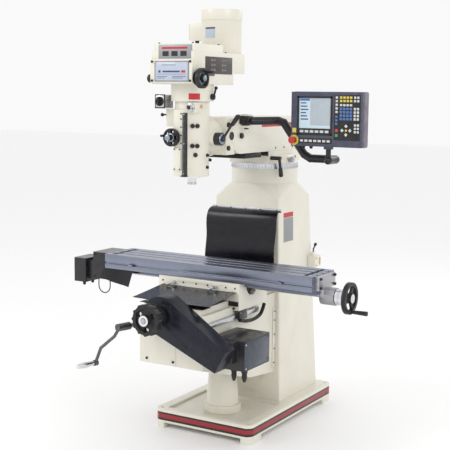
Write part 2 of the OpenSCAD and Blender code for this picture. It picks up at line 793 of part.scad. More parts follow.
module crank_shaft() color(steel) {
  on_crank() {
    zrod(0, 0, [gear_r - 12, crank_t - 6], crank_shaft_d / 2);
    translate([0, 0, gear_r - 8]) cylinder(h = 20, r1 = pinion_r - 6 - gap, r2 = pinion_r - gap);
  }
}

module knee_crank() color(black) {
  c = [cos(crank_angle), sin(crank_angle), 0];
  on_crank() {
    difference() {
      zrod(0, 0, [crank_t - 62, crank_t + 14], 19);
      zrod(0, 0, [crank_t - 63, crank_t - 6], crank_shaft_d / 2 + run);
    }
    rod([0, 0, crank_t + 4] + 12 * c, [0, 0, crank_t + 14] + 52 * c, 8);
    translate([0, 0, crank_t + 14] + 52 * c) sphere(8.4);
    rod([0, 0, crank_t + 14] + 52 * c, [0, 0, crank_t + crank_step] + 112 * c, 8);
    translate([0, 0, crank_t + crank_step] + 112 * c) sphere(8.4);
    rod([0, 0, crank_t + crank_step] + 112 * c, [0, 0, crank_t + crank_step] + crank_r * c, 8);
    translate(crank_r * c) zrod(0, 0, [crank_t + crank_step - 9, crank_t + crank_step + 9], 15);
    translate(crank_r * c) zrod(0, 0, [crank_t + crank_step, crank_t + crank_step + 100], 5);
  }
}

module crank_grip() color(steel) {
  c = [cos(crank_angle), sin(crank_angle), 0];
  t = crank_t + crank_step + 9 + gap;
  on_crank() translate(crank_r * c) difference() {
    union() {
      translate([0, 0, t]) cylinder(h = 60, r1 = 10, r2 = 15);
      translate([0, 0, t + 60]) cylinder(h = 42, r1 = 15, r2 = 11);
    }
    zrod(0, 0, [0, t + 92], 5 + run);
  }
}

// Side view of the belt guard: round about the screw, square past the motor's pulley
module guard_outline(g) {
  turn = atan2(motor_dz, motor_dx);
  reach = norm([motor_dx, motor_dz]);
  translate([0, y_axis_z]) rotate(turn) hull() {
    circle(guard_big_r - g);
    translate([reach, -guard_small_r + g]) square([60 - g, 2 * guard_small_r - 2 * g]);
  }
}

module y_guard() color(navy) {
  difference() {
    along_y([guard_y0, knee_front]) guard_outline(0);
    along_y([guard_y0 + 4, knee_front - 6]) guard_outline(4);
    yrod(0, [guard_y0 - cut, knee_front + cut], y_axis_z, screw_d / 2 + 2);
    yrod(motor_dx, [knee_front - 7, knee_front + cut], y_axis_z + motor_dz, 30);
  }
}

module y_motor() color(black) {
  x = motor_dx;
  z = y_axis_z + motor_dz;
  rslab(y_motor_x, y_motor_y, y_motor_z, 6);
  slab([x - 55, x + 60], [knee_front, y_motor_y[0]], [z - 55, z + 50]);
  yrod(x, [guard_y0 + 20, knee_front], z, 12);
  yrod(x, [guard_y0 + 25, guard_y0 + 57], z, 32);
}

module y_scale() color(steel) {
  slab([knee_w / 2, knee_w / 2 + 22], [knee_front + 5, knee_front + 522], [knee_z - 92, knee_z - 68]);
}

module y_handwheel() color(black) {
  z = y_axis_z;
  difference() {
    union() {
      yrod(0, [wheel_y, wheel_y + wheel_t], z, wheel_d / 2 - 6);
      for (a = [0:30:359])
        yrod((wheel_d / 2 - 10) * cos(a), [wheel_y, wheel_y + wheel_t], z + (wheel_d / 2 - 10) * sin(a), 10);
    }
    yrod(0, [wheel_y - cut, wheel_y + 10], z, wheel_d / 2 - 24);
    for (a = [30:120:359])
      yrod(46 * cos(a), [wheel_y - cut, wheel_y + wheel_t + cut], z + 46 * sin(a), 15);
    yrod(0, [wheel_y - 20, wheel_y + wheel_t + cut], z, screw_d / 2);
  }
  difference() {
    yrod(0, [wheel_y - 14, wheel_y + 10], z, 26);
    yrod(0, [wheel_y - 20, wheel_y + wheel_t], z, screw_d / 2);
  }
  difference() {
    yrod(0, [wheel_y + wheel_t, guard_y0 - 3], z, 46);
    yrod(0, [wheel_y, guard_y0], z, screw_d / 2);
  }
}

module y_screw() color(steel) {
  yrod(0, [wheel_y - 18, face_y - 70], y_axis_z, screw_d / 2);
  yrod(0, [guard_y0 + 22, guard_y0 + 60], y_axis_z, y_pulley_r);
}

module saddle() color(cream) {
  w = knee_rail_w / 2 + gap;
  h = knee_w / 2 + gap;
  y = [saddle_y0, saddle_y1];
  difference() {
    union() {
      slab([-saddle_left, saddle_right], y, [knee_z + gap, table_z0 - gap]);
      slab([-saddle_left, -w], y, [knee_z - knee_rail_h + gap, knee_z + cut]);
      slab([w, saddle_right], y, [knee_z - knee_rail_h + gap, knee_z + cut]);
      slab([-saddle_left, -h], y, [knee_z - saddle_drop, knee_z]);
      slab([h, saddle_right], y, [knee_z - saddle_drop, knee_z]);
    }
    along_x([-saddle_left - cut, saddle_right + cut]) translate([table_y, 0])
      dovetail(tongue_foot, tongue_w, table_z0 - tongue_t - 2 * gap, table_z0 + cut, gap);
    slab([-saddle_left - cut, saddle_right + cut], [table_y - tunnel_w / 2, table_y + tunnel_w / 2],
         [knee_z + 20, table_z0]);
    xrod([saddle_right - 28, saddle_right + cut], table_y, table_z0 - 12, 62);
    for (x = [-165, 90]) yrod(x, [saddle_y0 - cut, saddle_y0 + 30], lock_z, 6 + run);
  }
}

module saddle_nuts() color(bronze) {
  difference() {
    slab([-42, 42], [table_y - 32, table_y + 32], [knee_z - knee_slot_h + 3, knee_z + gap]);
    yrod(0, [table_y - 40, table_y + 40], y_axis_z, screw_d / 2 + run);
  }
  difference() {
    slab([-90, -30], [table_y - 26, table_y + 26], [knee_z + 20, table_z0 - 6]);
    xrod([-100, -20], table_y, x_axis_z, screw_d / 2 + run);
  }
}

// Rubber sheet that rides on the saddle's front and covers the knee's ways
module front_way_cover() color(black) {
  z = table_z0 - 48;
  y = knee_front + 5;
  along_x([-240, 214]) polygon([[saddle_y0, z + 3], [saddle_y0, z], [y, z - 26], [y, z - 23]]);
}

module table_lock(x) {
  yrod(x, [saddle_y0 - 22, saddle_y0 + 29], lock_z, 6);
  yrod(x, [saddle_y0 - 22, saddle_y0 - gap], lock_z, 9);
  rod([x, saddle_y0 - 16, lock_z], [x - 24, saddle_y0 - 34, lock_z - 8], 4);
}
module table_lock_left() color(steel) table_lock(-165);
module table_lock_right() color(steel) table_lock(90);

// Reader of the scale under the saddle's edge, and its cable in a black hose
module scale_cable() color(black) {
  x = saddle_right - 2;
  z = knee_z - saddle_drop;
  y = saddle_y1;
  slab([knee_w / 2 + 23, saddle_right], [y - 290, y - 210], [z - 52, z]);
  route = [[x, y - 285, z - 50], [x, y - 222, z - 65], [x, y - 140, z - 71], [x, y - 65, z - 55],
           [x, y - 25, z - 6]];
  for (i = [0:len(route) - 2]) {
    rod(route[i], route[i + 1], 9.5);
    if (i > 0) translate(route[i]) sphere(9.8);
  }
}

module table() color(steel) {
  w = table_w / 2;
  e = table_end;
  difference() {
    union() {
      slab([-e, e], [table_y - w, table_y + w], [table_z0, table_z]);
      along_x([-e, e]) translate([table_y, 0])
        dovetail(tongue_foot, tongue_w, table_z0 - tongue_t, table_z0 + cut, 0);
    }
    for (i = [-1:1]) {
      y = table_y + i * slot_pitch;
      slab([-e - cut, e + cut], [y - slot_w / 2, y + slot_w / 2], [table_z - 18, table_z + cut]);
      slab([-e - cut, e + cut], [y - slot_w / 2 - 6, y + slot_w / 2 + 6], [table_z - 30, table_z - 17.9]);
    }
    for (s = [-1, 1])
      slab([s * (e - 48) - 12, s * (e - 48) + 12], [table_y - w + 14, table_y + w - 14], [table_z - 12, table_z + cut]);
    slab([-e - cut, e + cut], [table_y - tunnel_w / 2, table_y + tunnel_w / 2],
         [table_z0 - tongue_t - cut, table_z0 + 4]);
    slab([-e - cut, e + cut], [table_y - w - cut, table_y - w + 10], [table_z0 + 26, table_z0 + 36]);
  }
  for (x = [-457, 459])
    slab([x - 14, x + 14], [table_y - w - 12, table_y - w + 9], [table_z0 + 26 + gap, table_z0 + 36 - gap]);
}

module x_end_bracket() color(steel) {
  e = table_end;
  difference() {
    union() {
      slab([e, e + 25], [table_y - 95, table_y + 90], [table_z0 + 6, table_z - 4]);
      slab([e, e + 25], [table_y - 45, table_y + 45], [x_axis_z, table_z0 + 8]);
      xrod([e, e + 77], table_y, x_axis_z, 45);
    }
    xrod([e - cut, e + 78], table_y, x_axis_z, screw_d / 2 + run);
  }
}

module x_motor() color(black) {
  e = -table_end;
  difference() {
    rslab([e - 110, e], [table_y - 95, table_y + 85], [x_axis_z - 40, table_z - 2], 6);
    slab([e - 100, e - 10], [table_y - 36, table_y + 36], [x_axis_z - 36, x_axis_z + 32]);
    xrod([e - 11, e + cut], table_y, x_axis_z, screw_d / 2 + run);
  }
  slab([e - 177, e - 110], [table_y - 50, table_y + 50], [x_axis_z - 55, x_axis_z + 47]);
  rslab([e - 262, e - 177], [table_y - 75, table_y + 75], [x_axis_z - 75, x_axis_z + 61], 6);
  loop = [[e - 95, table_y - 60, x_axis_z - 38], [e - 93, table_y - 60, x_axis_z - 84],
          [e - 72, table_y - 60, x_axis_z - 122], [e - 40, table_y - 60, x_axis_z - 122],
          [e - 18, table_y - 60, x_axis_z - 84], [e - 15, table_y - 60, x_axis_z - 38]];
  for (i = [0:len(loop) - 2]) rod(loop[i], loop[i + 1], 3.5);
  for (i = [1:len(loop) - 2]) translate(loop[i]) sphere(3.7);
}

module x_screw() color(steel) {
  xrod([-table_end - 60, table_end + 148], table_y, x_axis_z, screw_d / 2);
  xrod([-table_end - 92, -table_end - 16], table_y, x_axis_z, 26);
}

module x_handwheel() color(black) {
  x = table_end + 135;
  y = table_y;
  z = x_axis_z;
  difference() {
    xrod([x, x + 22], y, z, wheel_d / 2);
    xrod([x - cut, x + 23], y, z, wheel_d / 2 - 18);
  }
  difference() {
    union() {
      xrod([x - 10, x + 28], y, z, 26);
      for (a = [90:120:359])
        translate([x + 4, y, z]) rotate([a, 0, 0]) translate([0, -10, 0]) cube([12, 20, wheel_d / 2 - 8]);
    }
    xrod([x - 60, x + 30], y, z, screw_d / 2);
  }
  difference() {
    xrod([table_end + 79, x - 10], y, z, 37);
    xrod([table_end, x], y, z, screw_d / 2);
  }
  xrod([x + 22, x + 96], y + 10, z - wheel_d / 2 + 11, 5);
}

module x_grip() color(black) {
  x = table_end + 135 + 22 + gap;
  difference() {
    translate([x, table_y + 10, x_axis_z - wheel_d / 2 + 11]) rotate([0, 90, 0])
      cylinder(h = 80, r1 = 9, r2 = 12);
    xrod([x - cut, x + 76], table_y + 10, x_axis_z - wheel_d / 2 + 11, 5 + run);
  }
}

// Rubber flap under the table's left end
module x_flap() color(black) {
  e = -table_end;
  along_y([table_y - 104, table_y - 101])
    polygon([[e - 60, x_axis_z - 30], [e - 20, table_z0 - gap], [e + 175, table_z0 - gap], [e + 141, x_axis_z - 68]]);
}

base();
column();
pedestal();
knee_nut();
lubricator();
lubricator_lever();
rear_way_cover();
turret();
ram_lock_lever();
ram_pinion();
ram();
ram_adapter();
adapter_bolts();
head_housing();
gear_housing();
belt_housing();
name_panel();
motor();
drum_switch();
depth_scale();
drive_belt();
motor_shaft();
spindle_pulley();
spindle();
drawbar();
spindle_bearings();
quill();
quill_lever();
feed_wheel();
feed_lever();
speed_wheel();
switch_knob();
range_lever();
feed_dial();
pendant_arm();
pendant();
estop_button();
knee();
knee_screw();
crank_shaft();
knee_crank();
crank_grip();
y_motor();
y_guard();
y_scale();
y_handwheel();
y_screw();
saddle();
saddle_nuts();
front_way_cover();
table_lock_left();
table_lock_right();
scale_cable();
table();
x_end_bracket();
x_motor();
x_screw();
x_handwheel();
x_grip();
x_flap();
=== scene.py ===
import bpy, bmesh, json, math
from mathutils import Matrix, Vector

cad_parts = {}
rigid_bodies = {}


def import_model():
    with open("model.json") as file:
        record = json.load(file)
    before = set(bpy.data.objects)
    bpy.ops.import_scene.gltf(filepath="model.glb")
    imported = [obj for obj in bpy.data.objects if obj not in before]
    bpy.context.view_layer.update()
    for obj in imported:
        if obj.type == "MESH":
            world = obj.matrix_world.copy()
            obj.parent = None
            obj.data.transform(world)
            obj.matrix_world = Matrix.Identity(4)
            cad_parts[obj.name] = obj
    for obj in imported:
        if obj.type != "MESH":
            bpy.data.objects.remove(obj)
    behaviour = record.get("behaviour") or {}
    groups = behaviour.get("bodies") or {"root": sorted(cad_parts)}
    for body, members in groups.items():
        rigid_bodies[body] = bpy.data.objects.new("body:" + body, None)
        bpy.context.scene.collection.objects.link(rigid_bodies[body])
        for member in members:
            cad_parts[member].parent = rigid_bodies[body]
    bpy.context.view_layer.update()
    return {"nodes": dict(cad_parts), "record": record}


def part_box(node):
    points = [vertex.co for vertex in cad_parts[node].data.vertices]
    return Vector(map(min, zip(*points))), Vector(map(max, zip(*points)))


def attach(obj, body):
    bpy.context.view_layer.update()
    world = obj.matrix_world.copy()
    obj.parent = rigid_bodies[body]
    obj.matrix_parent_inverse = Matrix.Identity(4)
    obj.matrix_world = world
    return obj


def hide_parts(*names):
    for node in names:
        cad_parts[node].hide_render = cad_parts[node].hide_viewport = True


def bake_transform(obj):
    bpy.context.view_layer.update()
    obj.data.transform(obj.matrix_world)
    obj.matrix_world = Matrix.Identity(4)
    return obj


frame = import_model()

# ---------------------------------------------------------------- camera, floor and light
# A long lens from the front right at chest height, a pale floor that runs out of sight,
# and three large soft lamps: one high on the left front, one on the right, one behind.
view_lens = bpy.data.cameras.new("camera")
view_lens.lens, view_lens.sensor_width = 81.5, 36
view_lens.clip_end = 60
camera = bpy.data.objects.new("camera", view_lens)
bpy.context.collection.objects.link(camera)
camera.matrix_world = (Matrix.Translation((2.792, -4.912, 1.813)) @ Matrix.Rotation(math.radians(31.0), 4,
                         "Z") @ Matrix.Rotation(math.radians(82.58), 4, "X") @ Matrix.Rotation(math.radians(0.61), 4,
                         "Z"))
bpy.context.scene.camera = camera

bpy.ops.mesh.primitive_plane_add(size=60, location=(0, 0, 0))
floor = bpy.context.object
floor.name = "floor"
floor_paint = bpy.data.materials.new("floor_paint")
floor_paint.use_nodes = True
floor_paint.node_tree.nodes["Principled BSDF"].inputs["Base Color"].default_value = (0.95, 0.95, 0.95, 1)
floor_paint.node_tree.nodes["Principled BSDF"].inputs["Roughness"].default_value = 0.7
floor.data.materials.append(floor_paint)

room = bpy.data.worlds.new("room")
room.use_nodes = True
room.node_tree.nodes["Background"].inputs["Color"].default_value = (1.0, 1.0, 1.0, 1)
room.node_tree.nodes["Background"].inputs["Strength"].default_value = 0.95
bpy.context.scene.world = room
bpy.context.scene.view_settings.view_transform = "Standard"

for name, spot, power, size in (("lamp_left", (-3.2, -4.2, 4.2), 70, 2.2), ("lamp_right", (4.6, -2.6, 3.4), 48, 2.0),
        ("lamp_back", (1.5, 4.5, 3.8), 24, 2.0)):
    glow = bpy.data.lights.new(name, "AREA")
    glow.energy, glow.size = power, size
    lamp = bpy.data.objects.new(name, glow)
    bpy.context.collection.objects.link(lamp)
    lamp.matrix_world = Matrix.Translation(spot) @ (Vector((0, -0.3, 1.1)) - Vector(spot)).to_track_quat("-Z",
            "Y").to_matrix().to_4x4()

# ---------------------------------------------------------------- cords
# A ribbed rubber hose carries the cross scale's wire from its reading head up to the saddle, and
# a rubber lead hangs in a loop between two glands under the table's drive.
def line_at(points, t):
    """A place at a share t of the way along a smooth line through the points."""
    spans = [math.dist(a, b) for a, b in zip(points, points[1:])]
    where, k = t * sum(spans), 0
    while k < len(spans) - 1 and where > spans[k]:
        where, k = where - spans[k], k + 1
    u = where / spans[k]
    a, b, c, d = (points[max(0, min(len(points) - 1, k + n))] for n in (-1, 0, 1, 2))
    return tuple(0.5 * (2 * q + (r - p) * u + (2 * p - 5 * q + 4 * r - w) * u * u + (3 * q - p - 3 * r + w) * u ** 3)
                 for p, q, r, w in zip(a, b, c, d))


def flexible(name, points, count, thick):
    """A round cord: one open curve with its own thickness, on a smooth line through the points."""
    curve = bpy.data.curves.new(name, "CURVE")
    curve.dimensions, curve.bevel_depth, curve.bevel_resolution, curve.use_fill_caps = "3D", thick / 2, 5, True
    run = curve.splines.new("POLY")
    run.points.add(count - 1)
    route = [line_at(points, k / (count - 1)) for k in range(count)]
    for point, place in zip(run.points, route):
        point.co = (*place, 1)
    piece = bpy.data.objects.new(name, curve)
    bpy.context.collection.objects.link(piece)
    return piece, sum(math.dist(a, b) for a, b in zip(route, route[1:])), route


def grain(mat, scale, detail=4.0, stretch=(1, 1, 1), rough=0.55):
    """Noise on the piece's own place, stretched along an axis where the tool ran that way."""
    n, l = mat.node_tree.nodes, mat.node_tree.links
    place, turn, noise = n.new("ShaderNodeTexCoord"), n.new("ShaderNodeMapping"), n.new("ShaderNodeTexNoise")
    turn.inputs["Scale"].default_value = stretch
    noise.inputs["Scale"].default_value, noise.inputs["Detail"].default_value = scale, detail
    noise.inputs["Roughness"].default_value = rough
    l.new(place.outputs["Object"], turn.inputs["Vector"])
    l.new(turn.outputs["Vector"], noise.inputs["Vector"])
    return noise.outputs["Fac"]


def shade(mat, source, stops, mode="LINEAR"):
    """Turns a value into a colour through a ramp of (place, colour) stops."""
    ramp = mat.node_tree.nodes.new("ShaderNodeValToRGB")
    ramp.color_ramp.interpolation = mode
    while len(ramp.color_ramp.elements) < len(stops):
        ramp.color_ramp.elements.new(0.5)
    for spot, (where, colour) in zip(ramp.color_ramp.elements, stops):
        spot.position, spot.color = where, (*colour, 1) if len(colour) == 3 else colour
    mat.node_tree.links.new(source, ramp.inputs["Fac"])
    return ramp.outputs["Color"]


def dent(mat, source, strength, depth, under=None):
    """Bump from a height, laid over another bump."""
    bump = mat.node_tree.nodes.new("ShaderNodeBump")
    bump.inputs["Strength"].default_value, bump.inputs["Distance"].default_value = strength, depth
    mat.node_tree.links.new(source, bump.inputs["Height"])
    if under is not None:
        mat.node_tree.links.new(under, bump.inputs["Normal"])
    return bump.outputs["Normal"]


def finish(mat, **sockets):
    """Feeds links or fixed values into the shader's sockets by name."""
    shader = mat.node_tree.nodes["Principled BSDF"]
    for name, value in sockets.items():
        socket = shader.inputs[name.replace("_", " ")]
        if isinstance(value, bpy.types.NodeSocket):
            mat.node_tree.links.new(value, socket)
        else:
            socket.default_value = (*value, 1) if isinstance(value, tuple) and len(value) == 3 else value
    return mat


def blank(name):
    """A new material, built from nodes."""
    mat = bpy.data.materials.new(name)
    mat.use_nodes = True
    return mat


def grey(value):
    """An even tone, for a ramp that feeds roughness."""
    return (value, value, value)


def settle(piece, coat, body):
    """Coats a finished piece and fixes it to its body. Its one slot holds its coat."""
    piece.data.materials.clear()
    piece.data.materials.append(coat)
    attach(piece, body)
    return piece


def dark(name, colour, rough, pebble, strength, coat=0.0):
    """Black or dark paint, plastic or oxide with its own texture."""
    mat = blank(name)
    lighter = tuple(c * 1.7 + 0.004 for c in colour)
    finish(mat, Base_Color=shade(mat, grain(mat, 30.0, 5.0), [(0.35, colour), (0.85, lighter)]),
           Roughness=shade(mat, grain(mat, 14.0, 5.0),
             [(0.3, grey(rough * 0.8)), (0.8, grey(min(1.0, rough * 1.25)))]),
           Normal=dent(mat, grain(mat, pebble, 2.0), strength, 0.0006), Coat_Weight=coat, Coat_Roughness=0.15,
           Specular_IOR_Level=0.32)
    return mat


cord_rubber = dark("cord_rubber", (0.010, 0.010, 0.011), 0.5, 200.0, 0.2)
hose_line = [(0.226, y, z) for y, z in ((-0.485, 0.655), (-0.422, 0.640), (-0.340, 0.634), (-0.265, 0.650),
               (-0.226, 0.698))]
scale_hose, hose_length, route = flexible("scale_hose", hose_line, 36, 0.019)
settle(scale_hose, cord_rubber, "saddle")
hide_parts("scale_cable")
gland_left, gland_right, loop_y = -0.730, -0.651, -0.425
down = [(gland_left, loop_y, z) for z in (0.774, 0.751, 0.7275)]
bend = [(-0.6905 - 0.0395 * math.cos(math.radians(a)), loop_y, 0.7275 - 0.0395 * math.sin(math.radians(a)))
        for a in (22, 45, 67, 90, 113, 135, 158)]
up = [(gland_right, loop_y, z) for z in (0.7275, 0.751, 0.774)]
drive_loop, loop_length, route = flexible("drive_loop", down + bend + up, 40, 0.006)
settle(drive_loop, cord_rubber, "table")

# ---------------------------------------------------------------- base casting
# A low iron tray on four corner pads that carries the column. Cast, planed underneath,
# filled, sprayed cream, with a red band between two black ones taped round the rim.
def enamel(name, light, dull, waviness):
    """Sprayed enamel over filler: faint orange peel, slow waves of the casting, a few dull patches."""
    mat = blank(name)
    slow, fine = grain(mat, 5.0, 5.0), grain(mat, 420.0, 2.0)
    finish(mat, Base_Color=shade(mat, slow, [(0.30, dull), (0.72, light)]),
           Roughness=shade(mat, grain(mat, 9.0, 6.0), [(0.3, grey(0.30)), (0.8, grey(0.44))]),
           Normal=dent(mat, fine, 0.05, 0.0006, dent(mat, grain(mat, 24.0, 3.0), waviness, 0.004)), Coat_Weight=0.25,
           Coat_Roughness=0.18)
    return mat


body_of = {n: b for b, members in frame["record"]["behaviour"]["bodies"].items() for n in members}


def bring(name, mesh):
    """Puts a mesh on the bench as a new piece, the only one in hand."""
    bpy.ops.object.select_all(action="DESELECT")
    piece = bpy.data.objects.new(name, mesh)
    bpy.context.collection.objects.link(piece)
    piece.select_set(True)
    bpy.context.view_layer.objects.active = piece
    return piece


def edit_all():
    """Opens the mesh in hand with all of it selected."""
    bpy.ops.object.mode_set(mode="EDIT")
    bpy.ops.mesh.select_all(action="SELECT")


def skin(node, coat, edge=0.003, turn=28, smooth=34):
    """A CAD node's surface with its sharp corners broken, as filler, paint or a file leaves them."""
    piece = bring(node + "_skin", frame["nodes"][node].data.copy())
    piece.data.materials.clear()
    piece.data.materials.append(coat)
    bpy.ops.mesh.customdata_custom_splitnormals_clear()
    edit_all()
    bpy.ops.mesh.remove_doubles(threshold=0.00002)
    bpy.ops.mesh.dissolve_limited(angle_limit=math.radians(0.6))
    bpy.ops.object.mode_set(mode="OBJECT")
    if edge:
        soft = piece.modifiers.new("broken_edge", "BEVEL")
        soft.width, soft.segments, soft.limit_method = edge, 3, "ANGLE"
        soft.angle_limit, soft.miter_outer = math.radians(turn), "MITER_ARC"
        bpy.ops.object.modifier_apply(modifier="broken_edge")
    bpy.ops.object.shade_smooth_by_angle(angle=math.radians(smooth))
    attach(piece, body_of[node])
    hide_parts(node)
    return piece


cream = enamel("cream_enamel", (0.77, 0.74, 0.645), (0.71, 0.68, 0.585), 0.10)
banded = enamel("cream_enamel_banded", (0.77, 0.74, 0.645), (0.71, 0.68, 0.585), 0.10)
n, l = banded.node_tree.nodes, banded.node_tree.links
place, split = n.new("ShaderNodeTexCoord"), n.new("ShaderNodeSeparateXYZ")
l.new(place.outputs["Object"], split.inputs["Vector"])
band_low, red_low, red_high, band_high = 0.040, 0.052, 0.076, 0.088
cream_tone, tape_black, tape_red = (0.74, 0.71, 0.615), (0.005, 0.005, 0.006), (0.30, 0.010, 0.018)
band = shade(banded, split.outputs["Z"], [(0.0, cream_tone), (band_low, tape_black), (red_low, tape_red),
               (red_high, tape_black), (band_high, cream_tone)], "CONSTANT")
inside = n.new("ShaderNodeMath")
inside.operation = "COMPARE"
inside.inputs[1].default_value = (band_low + band_high) / 2
inside.inputs[2].default_value = (band_high - band_low) / 2
l.new(split.outputs["Z"], inside.inputs[0])
facing, tilt = n.new("ShaderNodeNewGeometry"), n.new("ShaderNodeSeparateXYZ")
l.new(facing.outputs["True Normal"], tilt.inputs["Vector"])
side = n.new("ShaderNodeMath")
side.operation = "COMPARE"
side.inputs[1].default_value, side.inputs[2].default_value = 0.0, 0.35
l.new(tilt.outputs["Z"], side.inputs[0])
both = n.new("ShaderNodeMath")
both.operation = "MULTIPLY"
l.new(inside.outputs[0], both.inputs[0])
l.new(side.outputs[0], both.inputs[1])
tape = n.new("ShaderNodeMix")
tape.data_type = "RGBA"
l.new(both.outputs[0], tape.inputs["Factor"])
l.new(n["Principled BSDF"].inputs["Base Color"].links[0].from_socket, tape.inputs["A"])
l.new(band, tape.inputs["B"])
finish(banded, Base_Color=tape.outputs["Result"])
skin("base", banded, 0.006)


def plate(name, low, high, coat, body, corner=0.002, rows=2):
    """A sawn or pressed block from corner to corner, its edges rounded."""
    bpy.ops.object.select_all(action="DESELECT")
    bpy.ops.mesh.primitive_cube_add(size=1, location=[(a + b) / 2 for a, b in zip(low, high)])
    piece = bpy.context.object
    piece.name = name
    piece.scale = [abs(b - a) for a, b in zip(low, high)]
    bpy.ops.object.transform_apply(location=True, rotation=True, scale=True)
    edit_all()
    bpy.ops.mesh.bevel(offset=corner, segments=rows, affect="EDGES")
    bpy.ops.object.mode_set(mode="OBJECT")
    bpy.ops.object.shade_smooth_by_angle(angle=math.radians(40))
    return settle(piece, coat, body)


def turned(name, foot, axis, steps, coat, body, sides=40):
    """A part turned on a lathe: steps are (radius, height) along the axis from its foot."""
    line = bpy.data.meshes.new(name)
    line.from_pydata([(r, 0, h) for r, h in steps], [(i, i + 1) for i in range(len(steps) - 1)], [])
    piece = bring(name, line)
    edit_all()
    bpy.ops.mesh.spin(steps=sides, angle=2 * math.pi, center=(0, 0, 0), axis=(0, 0, 1))
    bpy.ops.mesh.select_all(action="SELECT")
    bpy.ops.mesh.remove_doubles(threshold=0.000004)
    bpy.ops.mesh.normals_make_consistent(inside=False)
    bpy.ops.object.mode_set(mode="OBJECT")
    piece.data.transform(Matrix.Translation(foot)
                         @ Vector((0, 0, 1)).rotation_difference(Vector(axis)).to_matrix().to_4x4())
    bpy.ops.object.shade_smooth_by_angle(angle=math.radians(35))
    return settle(piece, coat, body)


to_right, to_left, to_front, to_back = (1, 0, 0), (-1, 0, 0), (0, -1, 0), (0, 1, 0)
upwards, downwards = (0, 0, 1), (0, 0, -1)


def fasteners(name, spots, axis, across, tall, coat, body, socket=True):
    """Screws in a row: one head is turned with a hex socket or six flats, then copied to each hole."""
    bpy.ops.object.select_all(action="DESELECT")
    bpy.ops.mesh.primitive_cylinder_add(vertices=24 if socket else 6, radius=across / 2, depth=tall,
            location=(0, 0, tall / 2))
    head = bpy.context.object
    bpy.ops.object.transform_apply(location=True)
    bpy.ops.object.mode_set(mode="EDIT")
    mesh = bmesh.from_edit_mesh(head.data)
    for face in mesh.faces:
        face.select = face.normal.z > 0.9
    bmesh.update_edit_mesh(head.data)
    bpy.ops.mesh.inset(thickness=across * 0.06)
    bpy.ops.transform.translate(value=(0, 0, tall * 0.10))
    bpy.ops.mesh.inset(thickness=across * (0.14 if socket else 0.10))
    bpy.ops.transform.translate(value=(0, 0, -tall * (0.5 if socket else 0.05)))
    bpy.ops.object.mode_set(mode="OBJECT")
    pattern = head.data
    turn = Vector((0, 0, 1)).rotation_difference(Vector(axis)).to_matrix().to_4x4()
    copies = [head]
    for spot in spots[1:]:
        twin = bpy.data.objects.new(name, pattern.copy())
        bpy.context.collection.objects.link(twin)
        twin.data.transform(Matrix.Translation(spot) @ turn)
        copies.append(twin)
    head.data.transform(Matrix.Translation(spots[0]) @ turn)
    bpy.ops.object.select_all(action="DESELECT")
    for twin in copies:
        twin.select_set(True)
    bpy.context.view_layer.objects.active = head
    if len(copies) > 1:
        bpy.ops.object.join()
    head.name = name
    bpy.ops.object.shade_smooth_by_angle(angle=math.radians(35))
    return settle(head, coat, body)


def metal(name, light, dull, rough, stretch=(1, 1, 1), scale=60.0, depth=0.0003, shiny=1.0):
    """Machined metal: fine tool marks along one way, a slow change of tone and a little oil."""
    mat = blank(name)
    marks, tone = grain(mat, scale, 3.0, stretch), grain(mat, 6.0, 4.0)
    finish(mat, Base_Color=shade(mat, tone, [(0.3, dull), (0.75, light)]), Metallic=shiny,
           Roughness=shade(mat, marks, [(0.25, grey(rough * 0.75)), (0.8, grey(rough * 1.3))]),
           Normal=dent(mat, marks, 0.25, depth))
    return mat


zinc = metal("zinc_screws", (0.62, 0.62, 0.64), (0.45, 0.45, 0.48), 0.34)
black_oxide = dark("black_oxide", (0.012, 0.012, 0.014), 0.38, 500.0, 0.05, 0.2)

# ---------------------------------------------------------------- column
# One hollow iron casting with narrow scraped ways in front. A pressed access door closes its left
# side, held by screws, and a louvred one its back. A data plate is pinned to the right side.
skin("column", cream, 0.012, 28, 62)
skin("pedestal", cream, 0.004)
cream_sheet = enamel("cream_sheet", (0.78, 0.75, 0.655), (0.73, 0.70, 0.605), 0.03)
foot_z, shoulder = 0.105, 1.13
lean, back_lean = 0.028 / shoulder, 0.09 / shoulder


def side_x(z):
    """How far out the column's leaning side stands at a height."""
    return 0.228 - (z - foot_z) * lean


def tip(piece, spot, angle, axis):
    """Turns a piece made upright to lie on a leaning face, about its own height on that face."""
    piece.data.transform(Matrix.Translation(spot) @ Matrix.Rotation(angle, 4,
                           axis) @ Matrix.Translation((0, 0, -spot[2])))


door = plate("left_door", (-0.006, 0.06, 0.30), (0.0, 0.27, 0.80), cream_sheet, "frame", 0.003)
tip(door, (-side_x(0.55) - 0.001, 0, 0.55), math.atan(lean), "Y")
fasteners("left_door_screws", [(-side_x(z) - 0.006, y, z) for y in (0.072, 0.258) for z in (0.315, 0.55, 0.785)],
          to_left, 0.012, 0.004, zinc, "frame")
plate_silver = metal("label_plate", (0.36, 0.37, 0.39), (0.29, 0.30, 0.32), 0.5, (1, 1, 12), 90.0, 0.0001, 0.5)
label_red = blank("label_red")
finish(label_red, Base_Color=shade(label_red, grain(label_red, 60.0),
         [(0.3, (0.48, 0.015, 0.02)), (0.8, (0.58, 0.03, 0.035))]), Roughness=0.35)
for name, z0, z1, coat in (("data_plate", 0.995, 1.128, plate_silver), ("data_plate_band", 1.131, 1.157, label_red)):
    tag = plate(name, (0.0, 0.022, z0), (0.0016, 0.134, z1), coat, "frame", 0.0006, 1)
    tip(tag, (side_x((z0 + z1) / 2), 0, (z0 + z1) / 2), -math.atan(lean), "Y")
fasteners("data_plate_pins", [(side_x(z) + 0.0012, y, z) for y in (0.028, 0.128) for z in (1.001, 1.122)], to_right,
          0.006, 0.0015, zinc, "frame")
door_z = 0.62
back_y = 0.454 - back_lean * (door_z - foot_z)
